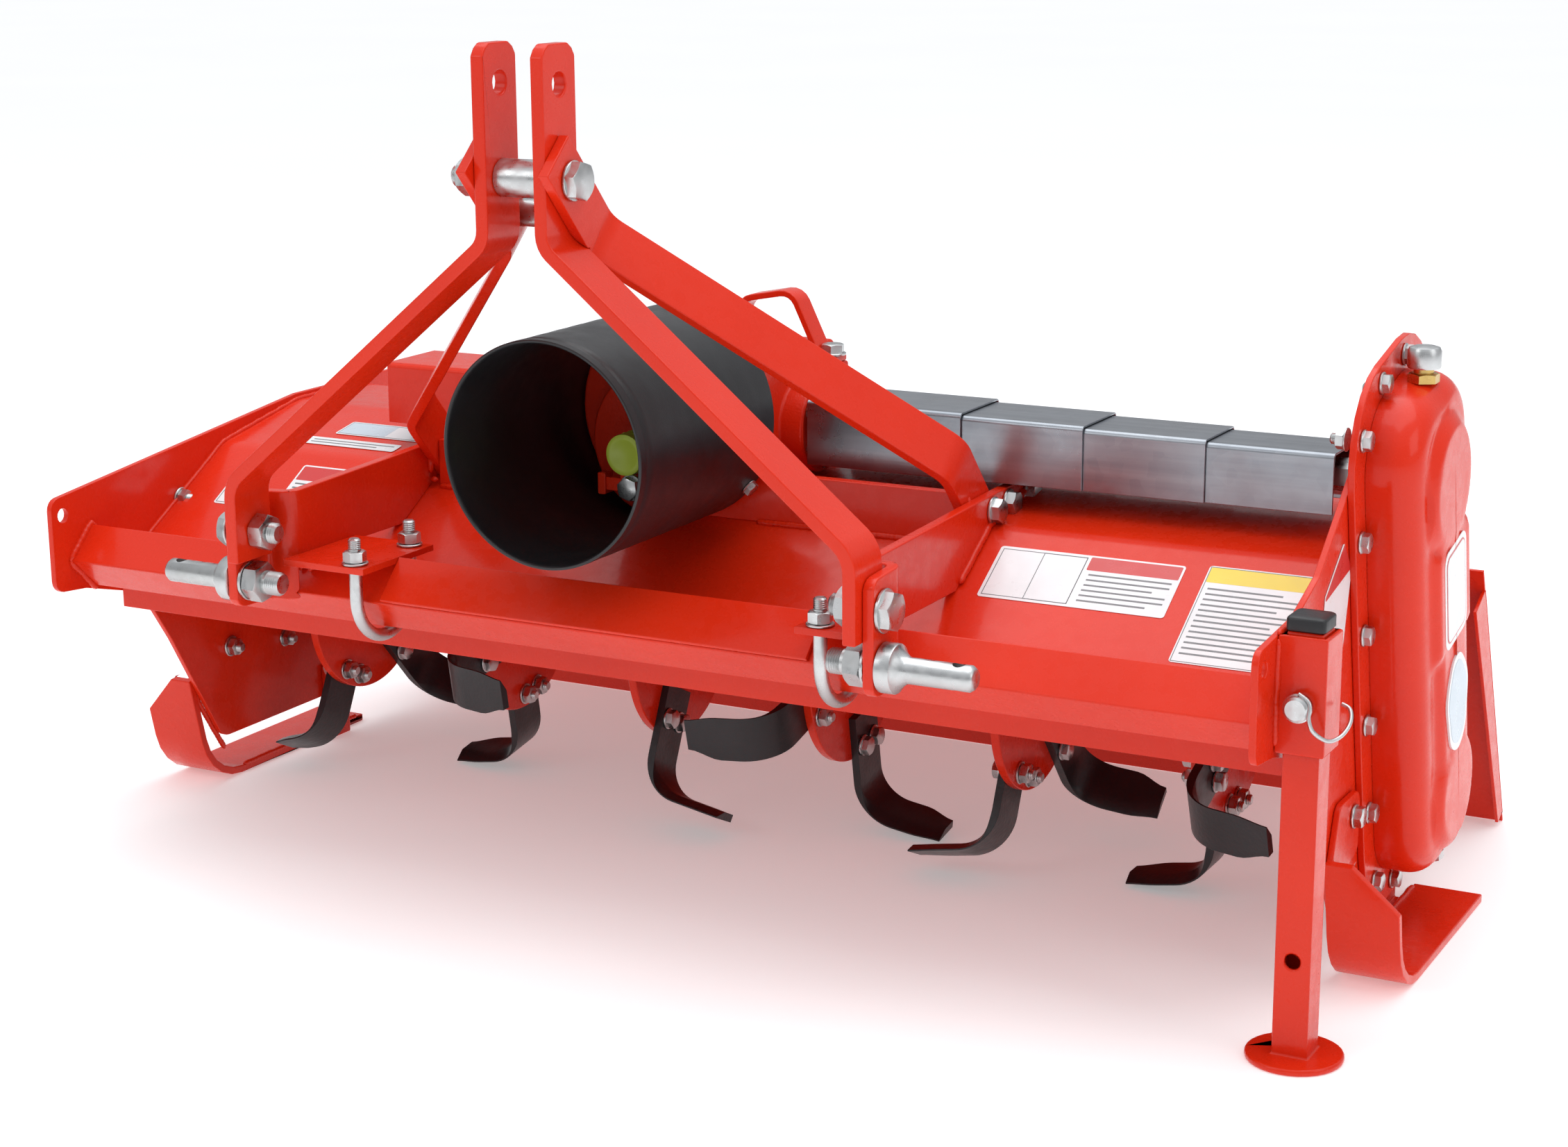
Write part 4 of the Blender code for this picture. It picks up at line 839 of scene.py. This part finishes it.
def rotor_sets():
    for k, turns in enumerate(TINE_TURNS):
        node = "tine_set_%d" % (k + 1)
        x = FIRST_FLANGE + FLANGE_PITCH * k
        tines, bolts, disc = bmesh.new(), bmesh.new(), bmesh.new()
        half = FLANGE_THICK / 2
        lathe(disc, at(x - half, ROTOR.y, ROTOR.z), X,
              [(0, 0.038), (0, 0.0942), (0.0008, 0.0950), (2 * half - 0.0008, 0.0950),
               (2 * half, 0.0942), (2 * half, 0.038)], 96, hollow=True)
        for side in (-1, 1):
            ring = [at(x + side * (half + 0.0008), ROTOR.y + 0.0388 * math.cos(a),
                       ROTOR.z + 0.0388 * math.sin(a))
                    for a in (2 * math.pi * j / 40 for j in range(41))]
            weld(disc, ring, 0.0042)
        for n in range(4):
            side = 1 if n % 2 else -1
            reach = SHORT_BLADE if k == 0 and side < 0 else BLADE
            hub, out, along = add_tine(tines, x, turns[n % 2] + 90 * (n - n % 2), side, reach)
            outer = side * (half + TINE_THICK - 0.0005)
            for offset in (-0.0115, 0.0115):
                spot = hub + out * 0.0800 + along * offset
                head(bolts, spot + X * outer, X * side, 0.0105, offset * 30)
                nut(bolts, spot - X * side * half, X * -side, 0.0105, 0.35, offset * 50)
        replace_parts(finish_piece(tines, "tines_%d" % (k + 1), TINE_BLACK, "rotor", 0.0009),
                    node)
        finish_piece(disc, "tine_flange_%d" % (k + 1), RED, "rotor")
        finish_piece(bolts, "tine_bolts_%d" % (k + 1), ZINC, "rotor")


# ---------------------------------------------------------------- bolts and small hardware
def bolt_group(name, places):
    """Heads or nuts at places, each (where, way, size, head or nut)."""
    bm = bmesh.new()
    for k, (where, way, size, make) in enumerate(places):
        make(bm, where, way, size, turn=(k * 0.37) % 1.0)
    hardware(bm, name)


ARM_OUTER = 0.3003                  # outer faces of the hitch arms, from the middle
ARM_THICK = 0.0205
FLANGE_SEAT = RIGHT + 0.0065        # the drive flange's outer face
FLANGE_LENGTH = 0.4795              # between its end bolts' lines


def arm_bolts():
    for side, name in ((-1, "left"), (1, "right")):
        places = [(at(side * ARM_OUTER, y, z), X * side, 0.0125, head)
                  for y, z in ((0.277, 0.071), (0.310, 0.072), (0.355, 0.072))]
        places += [(at(side * (ARM_OUTER - ARM_THICK), 0.277, 0.071), X * -side, 0.0125, nut)]
        bolt_group("arm_bolts_" + name, places)


def drive_flange_bolts():
    spots = []
    for share in (0.06, 0.24, 0.42, 0.60, 0.78, 0.94):
        aside = 0.085 if min(share, 1 - share) < 0.10 else 0.097
        spots += [(FLANGE_LENGTH * share - 0.100, aside * side) for side in (-1, 1)]
    ends = [(-0.100, -0.030), (-0.100, 0.036), (0.378, -0.034), (0.378, 0.034)]
    places, backs = [], []
    for along, aside in spots + ends:
        spot = SHAFT + DOWN * along + ACROSS * aside
        places.append((at(FLANGE_SEAT, spot.y, spot.z), X, 0.0095, head))
        backs.append((at(RIGHT - PLATE, spot.y, spot.z), -X, 0.0095, nut))
    bolt_group("drive_flange_bolts", places)
    backs = backs[:len(spots)]
    bolt_group("drive_flange_nuts", [b for b in backs if b[0].z > HITCH.z - 0.20])


def plate_bolts():
    ring = [(ROTOR.y + math.cos(a) * 0.060, ROTOR.z + math.sin(a) * 0.060)
            for a in (math.pi / 4 + math.pi / 2 * k for k in range(4))]
    bolt_group("bearing_bolts", [(at(LEFT - 0.0143, *p), -X, 0.0095, head) for p in ring]
               + [(at(LEFT + PLATE, *p), X, 0.0095, nut) for p in ring])
    places = []
    for side, edge in ((-1, LEFT), (1, RIGHT)):
        places += [(at(edge + side * 0.0063, 0.270, -0.160), X * side, 0.0105, head),
                   (at(edge - side * PLATE, 0.270, -0.160), X * -side, 0.0105, nut),
                   (at(edge - side * 0.0125, 0.440, -0.245), X * -side, 0.0105, nut),
                   (at(edge, 0.440, -0.245), X * side, 0.0105, head)]
    bolt_group("skid_bolts", places)
    spots = ((0.205, 0.012), (0.470, 0.050))
    bolt_group("left_plate_bolts", [(at(LEFT + PLATE, *p), X, 0.0105, nut) for p in spots]
               + [(at(LEFT, *p), -X, 0.0105, head) for p in spots])
    bolt_group("right_peak_bolts", [(at(RIGHT - PLATE, 0.345, 0.195), -X, 0.0115, nut),
                                    (at(RIGHT - PLATE, 0.365, 0.158), -X, 0.0105, nut)])


def gearbox_details():
    bm = bmesh.new()
    lathe(bm, at(0.086, 0.330, 0.088), Z,
          [(0, 0.0125), (0.0015, 0.0138), (0.030, 0.0138), (0.0315, 0.0128), (0.0345, 0.0128),
           (0.036, 0.0138), (0.059, 0.0138), (0.061, 0.0122)], 36)
    for side in (-1, 1):
        lathe(bm, at(side * 0.0945, SHAFT.y, SHAFT.z), X * side,
              [(0, 0.0435), (0.0006, 0.0435), (0.0010, 0.0425), (0.0010, 0.021)], 48)
    for y in (0.292, 0.390):
        slab(bm, oblong(-0.0695, y - 0.004, 0.0695, y + 0.004, 0.003), at(0, 0, 0.186), X, Y,
             0.0, 0.0065)
    finish_piece(bm, "gearbox_castings", CAST_RED, "frame", bevel=0.0010)
    bm = bmesh.new()
    for side in (-1, 1):
        for k in range(6):
            a = math.pi / 6 + math.pi / 3 * k
            spot = at(side * 0.0950, SHAFT.y + 0.0345 * math.cos(a),
                      SHAFT.z + 0.0345 * math.sin(a))
            if not (side > 0 and spot.z > HITCH.z + 0.135 and spot.y > HITCH.y + 0.35):
                head(bm, spot, X * side, 0.0060, 0.4 * k)
    hardware(bm, "gearbox_cover_screws")
    bm = bmesh.new()
    low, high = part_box("lifting_loop")
    head(bm, Vector((high.x - 0.0085, (low.y + high.y) / 2, low.z + 0.006)), Z, 0.0125, 0.3)
    head(bm, at(-0.0235, 0.378, 0.1965), Z, 0.0105, 0.5)
    hardware(bm, "lifting_loop_bolts")
    bm = bmesh.new()
    top = at(-0.045, 0.330, 0.190)
    hexagon(bm, top, Z, 0.017, 0.006)
    lathe(bm, top + Z * 0.006, Z, [(0, 0.006), (0.003, 0.006), (0.003, 0.0088), (0.010, 0.0088),
                                   (0.012, 0.0070)], 28)
    hardware(bm, "gearbox_breather", BRASS)


def shield_bolts():
    bm = bmesh.new()
    inner = at(0.0, 0.154, 0.087)
    head(bm, inner, -Y, 0.0120, 0.2)
    lathe(bm, inner, Y, [(0, 0.0055), (0.050, 0.0055)], 20)
    hardware(bm, "shield_inner_bolt")
    bm = bmesh.new()
    slab(bm, oblong(-0.014, -0.006, 0.014, 0.006, 0.002), at(-0.020, 0.160, 0.088), X, Z,
         -0.005, 0.005)
    for side in (-1, 1):
        slab(bm, oblong(-0.004, -0.010, 0.004, 0.010, 0.0015),
             at(-0.020 + side * 0.012, 0.160, 0.088), X, Z, -0.007, 0.007)
    finish_piece(bm, "shield_clamp_lug", RED, "frame", bevel=0.0006)
    bm = bmesh.new()
    for degrees in (-38, 218, 90):
        a = math.radians(degrees)
        out = Vector((math.cos(a), 0, math.sin(a)))
        spot = middle("input_shield")
        spot.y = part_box("input_shield")[1].y - 0.012
        head(bm, spot + out * 0.0997, out, 0.0078, 0.3)
    hardware(bm, "shield_screws")


def cover_fittings():
    """Breather on the drive cover's top edge and its level and drain plugs."""
    x = (face("drive_cover", 0, 0) + face("drive_cover", 0, 1)) / 2 - 0.004
    bm = bmesh.new()
    base = SHAFT - DOWN * 0.0862 + ACROSS * 0.012
    spot = at(x, base.y, base.z)
    hexagon(bm, spot, Z, 0.0240, 0.0080)
    lathe(bm, spot + Z * 0.008, Z, [(0, 0.0085), (0.004, 0.0085)], 28)
    hardware(bm, "breather_base", BRASS)
    bm = bmesh.new()
    lathe(bm, spot + Z * 0.0115, Z,
          [(0, 0.0095), (0.0006, 0.0135), (0.0022, 0.0142), (0.0150, 0.0142), (0.0180, 0.0128),
           (0.0192, 0.0090)], 40)
    hardware(bm, "breather_cap")
    bm = bmesh.new()
    low = ROTOR + DOWN * 0.1195 + ACROSS * 0.020
    hexagon(bm, at(x, low.y, low.z - 0.001), DOWN, 0.0170, 0.0080, turn=0.2)
    side = ROTOR + ACROSS * 0.0830 - DOWN * 0.01
    hexagon(bm, at(x, side.y, side.z), ACROSS, 0.0150, 0.0075, turn=0.2)
    hardware(bm, "drive_plugs")


# ---------------------------------------------------------------- welds
def weld_group(name, beads, size):
    bm = bmesh.new()
    for bead in beads:
        weld(bm, [at(*p) for p in bead], size)
    finish_piece(bm, name, RED, "frame", angle=80)


def diamond_bead(x):
    y, z, half = 0.070, -0.018, 0.0315
    return [(x, y - half, z), (x, y, z + half), (x, y + half, z), (x, y, z - half),
            (x, y - half, z)]


def welds():
    inner_left, inner_right = LEFT + PLATE, RIGHT - PLATE
    weld_group("beam_welds", [diamond_bead(inner_left + 0.001), diamond_bead(inner_right - 0.001)],
               0.0040)
    beads = []
    for side in (-1, 1):
        outer = side * 0.3005
        beads += [[(x, 0.052, 0.000), (x, 0.070, 0.0140), (x, 0.100, -0.012)]
                  for x in (outer, side * 0.2895)]
        beads += [[(side * 0.2800, 0.2485, 0.050), (side * 0.2885, 0.2485, 0.050)],
                  [(side * 0.2888, 0.2490, 0.056), (side * 0.2888, 0.2490, 0.088)],
                  [(outer, 0.205, 0.0202), (outer, 0.270, 0.0592), (outer, 0.380, 0.0825)]]
    weld_group("hitch_arm_welds", beads, 0.0036)
    bends = (DECK_SLOPE[0].yz, DECK_SLOPE[1].yz, DECK_TOP[1].yz, (0.515, 0.0825))
    weld_group("hood_end_welds", [[(x, *bend) for bend in bends]
                                  for x in (inner_left + 0.0008, inner_right - 0.0008)], 0.0030)
    stand_x = middle("stand_sleeve").x - HITCH.x
    beads = [[(RIGHT + 0.0008, y, z) for z in (-0.040, 0.046)] for y in (0.0618, 0.1022)]
    beads.append([(stand_x - 0.020, 0.063, 0.0505), (stand_x - 0.020, 0.101, 0.0505)])
    weld_group("stand_sleeve_welds", beads, 0.0030)
    beads = []
    for side, edge in ((-1, LEFT), (1, RIGHT)):
        beads += [[(edge + side * 0.002, y, -0.2965) for y in (0.290, 0.490)],
                  [(edge + side * 0.003, 0.222, -0.208), (edge + side * 0.003, 0.262, -0.272)]]
    weld_group("skid_welds", beads, 0.0030)
    beads = [[(side * 0.0708, 0.270, 0.0585), (side * 0.0708, 0.400, 0.0830)] for side in (-1, 1)]
    beads += [[(-0.070, 0.4206, 0.0835), (0.070, 0.4206, 0.0835)],
              [(-0.279, 0.2493, 0.0440), (-0.075, 0.2493, 0.0440)],
              [(0.075, 0.2493, 0.0440), (0.279, 0.2493, 0.0440)]]
    weld_group("deck_top_welds", beads, 0.0030)


# ---------------------------------------------------------------- labels
FILMS = [WHITE_FILM, RED_FILM, YELLOW_FILM, BLUE_FILM, GREY_FILM]
PAPER, RED_FIELD, YELLOW_FIELD, BLUE_FIELD, GREY_BAR = range(len(FILMS))


def label(name, origin, u, v, size, parts):
    """A label on a flat face: a film with blank printed fields, each (u0, v0, u1, v1, colour)."""
    bm = bmesh.new()
    w, h = size
    slab(bm, oblong(0, 0, w, h, 0.003), origin, u, v, 0.0001, 0.0004, PAPER)
    for a0, b0, a1, b1, colour in parts:
        inset = min(a1 - a0, b1 - b0) * 0.12
        slab(bm, oblong(a0, b0, a1, b1, min(inset, 0.0012), 3), origin, u, v, 0.0003,
             0.00055 if colour == GREY_BAR else 0.0005, colour)
    finish_piece(bm, name, FILMS, "frame")


def rows(u0, u1, v0, v1, count):
    """Blank grey bars where a label carries lines of print."""
    pitch = (v1 - v0) / count
    return [(u0, v0 + pitch * (k + 0.32), u1 - (0.18 * (u1 - u0) if k % 3 == 0 else 0),
             v0 + pitch * (k + 0.62), GREY_BAR) for k in range(count)]


def box_lines(u0, v0, u1, v1):
    wide = 0.0007
    return [(u0, v0, u1, v0 + wide, GREY_BAR), (u0, v1 - wide, u1, v1, GREY_BAR),
            (u0, v0, u0 + wide, v1, GREY_BAR), (u1 - wide, v0, u1, v1, GREY_BAR)]


def upon(start, end):
    """A face of the hood between two of its bends: its upward way, and a way to reach places."""
    slope = (end.z - start.z) / (end.y - start.y)

    def place(x, y):
        return at(x, y, start.z + (y - start.y) * slope)

    return (end - start).normalized(), place


def hood_labels():
    up, place = upon(*DECK_SLOPE)
    w, h = 0.172, 0.064
    label("hood_label_right", place(0.320, 0.199), X, up, (w, h),
          [(0.086, 0.046, w - 0.002, h - 0.002, RED_FIELD)]
          + rows(0.090, w - 0.006, 0.006, 0.044, 6)
          + box_lines(0.003, 0.003, 0.083, h - 0.003) + box_lines(0.042, 0.003, 0.083, h - 0.003))
    w, h = 0.093, 0.116
    label("hood_label_yellow", place(0.512, 0.158), X, up, (w, h),
          [(0.002, 0.096, w - 0.002, h - 0.002, YELLOW_FIELD)]
          + rows(0.006, w - 0.006, 0.008, 0.092, 13)
          + box_lines(0.0012, 0.0012, w - 0.0012, h - 0.0012))
    w, h = 0.092, 0.052
    label("hood_label_left", place(-0.449, 0.212), X, up, (w, h),
          [(0.002, 0.030, w - 0.002, h - 0.002, RED_FIELD)]
          + rows(0.005, w - 0.006, 0.004, 0.028, 4))
    w, h = 0.042, 0.060
    label("hood_label_sign", place(-0.522, 0.199), X, up, (w, h),
          box_lines(0.002, 0.002, w - 0.002, h - 0.002)
          + [(0.012, 0.020, 0.030, 0.034, GREY_BAR)])
    up, place = upon(*DECK_TOP)
    w, h = 0.142, 0.018
    label("hood_plate_thin", place(-0.508, 0.292), X, up, (w, h),
          [(0.003, 0.003, 0.030, h - 0.003, BLUE_FIELD)] + rows(0.036, w - 0.006, 0.003, 0.015, 2))
    w, h = 0.130, 0.034
    label("hood_plate_size", place(-0.460, 0.322), X, up, (w, h),
          [(0.002, 0.002, 0.060, h - 0.002, BLUE_FIELD)]
          + box_lines(0.002, 0.002, w - 0.002, h - 0.002))


def plate_label():
    """The leaning label on the right side plate, in front of the drive cover."""
    face_of_plate = Vector((at(RIGHT + 0.0003, 0, 0).x, HITCH.y, HITCH.z))
    bm = bmesh.new()
    lean = [(0.172, -0.013), (0.232, -0.013), (0.250, 0.060), (0.226, 0.088), (0.180, 0.052)]
    slab(bm, rounded(lean, 0.003), face_of_plate, Y, Z, 0.0, 0.0004, PAPER)
    slab(bm, rounded([(0.181, 0.048), (0.249, 0.062), (0.227, 0.086), (0.1815, 0.051)], 0.001, 3),
         face_of_plate, Y, Z, 0.0003, 0.0006, RED_FIELD)
    finish_piece(bm, "plate_label_right", FILMS, "frame")


def cover_labels():
    """A square and a round label on the drive cover's raised panel."""
    high = face("drive_cover", 0, 1)
    centre = SHAFT + DOWN * 0.099
    centre.x = high - 0.0014
    corner = at(*centre) - ACROSS * 0.034 + DOWN * 0.046
    bm = bmesh.new()
    for inset, radius, low, top, colour in ((0.0, 0.012, 0.0, 0.0006, PAPER),
                                            (0.005, 0.009, 0.0005, 0.0009, RED_FIELD),
                                            (0.0065, 0.008, 0.0008, 0.0011, PAPER)):
        slab(bm, oblong(inset, inset, 0.066 - inset, 0.092 - inset, radius),
             corner, ACROSS, -DOWN, low, top, colour)
    finish_piece(bm, "cover_label_square", FILMS, "frame")
    bm = bmesh.new()
    place = at(high - 0.0003, ROTOR.y, ROTOR.z) - DOWN * 0.048
    outline = [((0.0315 + 0.0016 * math.sin(a * 5)) * math.cos(a), 0.046 * math.sin(a))
               for a in (2 * math.pi * k / 60 for k in range(60))]
    slab(bm, outline, place, ACROSS, -DOWN, -0.0022, -0.0002, PAPER)
    slab(bm, [(a * 0.84, b * 0.86) for a, b in outline], place, ACROSS, -DOWN, -0.0004, 0.0001,
         BLUE_FIELD)
    finish_piece(bm, "cover_label_round", FILMS, "frame")


# ---------------------------------------------------------------- stage, light and camera
def stage():
    bm = bmesh.new()
    bmesh.ops.create_grid(bm, x_segments=2, y_segments=2, size=40.0)
    mesh = bpy.data.meshes.new("floor")
    bm.to_mesh(mesh)
    bm.free()
    floor = bpy.data.objects.new("floor", mesh)
    floor.location.z = CAD_BOX[0].z
    m = Nodes("pale_floor", Roughness=0.85, Emission_Color=(1, 1, 1, 1), Emission_Strength=0.30)
    m.set("Base Color", m.ramp(m.noise(0.8, 3.0), [(0.3, (0.90, 0.90, 0.90)),
                                                   (0.7, (0.92, 0.92, 0.92))]))
    mesh.materials.append(m.mat)
    bpy.context.scene.collection.objects.link(floor)


def area_light(name, place, target, size, power, colour=(1, 1, 1)):
    data = bpy.data.lights.new(name, "AREA")
    data.shape = "RECTANGLE"
    data.size, data.size_y = size
    data.energy = power
    data.color = colour
    light = bpy.data.objects.new(name, data)
    light.location = place
    light.rotation_euler = (Vector(target) - Vector(place)).to_track_quat("-Z", "Y").to_euler()
    bpy.context.scene.collection.objects.link(light)


def lights():
    world = bpy.data.worlds.new("studio")
    bpy.context.scene.world = world
    world.use_nodes = True
    tree = world.node_tree
    place = tree.nodes.new("ShaderNodeTexCoord").outputs["Generated"]
    split = tree.nodes.new("ShaderNodeSeparateXYZ")
    ramp = tree.nodes.new("ShaderNodeValToRGB")
    tree.links.new(place, split.inputs["Vector"])
    tree.links.new(split.outputs["Z"], ramp.inputs["Fac"])
    elements = ramp.color_ramp.elements
    elements[0].position, elements[0].color = 0.0, (0.40, 0.40, 0.41, 1)
    elements[1].position, elements[1].color = 0.9, (0.95, 0.97, 1.0, 1)
    middle_sky = elements.new(0.40)
    middle_sky.color = (0.52, 0.53, 0.55, 1)
    tree.links.new(ramp.outputs["Color"], tree.nodes["Background"].inputs["Color"])
    tree.nodes["Background"].inputs["Strength"].default_value = 1.0
    area_light("sky", (0.2, 0.3, 3.4), (0, 0, 0.3), (4.0, 3.0), 62, (0.97, 0.99, 1.0))
    area_light("key", (-1.8, -3.2, 2.6), (0, 0, 0.3), (1.8, 1.8), 18)
    area_light("side", (3.4, -0.6, 1.8), (0.3, 0, 0.4), (1.6, 1.6), 12)


def camera():
    data = bpy.data.cameras.new("camera")
    data.lens = 63.93
    data.sensor_width = 36.0
    data.clip_end = 200.0
    eye = bpy.data.objects.new("camera", data)
    eye.matrix_world = (Matrix.Translation((1.2512, -2.2931, 0.9194))
                        @ Matrix.Rotation(math.radians(28.234), 4, "Z")
                        @ Matrix.Rotation(math.radians(76.091), 4, "X")
                        @ Matrix.Rotation(math.radians(-0.376), 4, "Z"))
    bpy.context.scene.collection.objects.link(eye)
    bpy.context.scene.camera = eye


camera()
lights()
stage()
bpy.context.scene.view_settings.view_transform = "Standard"
painted_steel()
drive_cover()
lower_pins()
hitch_bolts()
mast_fasteners()
u_bolts()
tail_rod()
input_parts()
input_shield()
stand_details()
rotor_sets()
arm_bolts()
drive_flange_bolts()
plate_bolts()
gearbox_details()
shield_bolts()
cover_fittings()
welds()
hood_labels()
plate_label()
cover_labels()
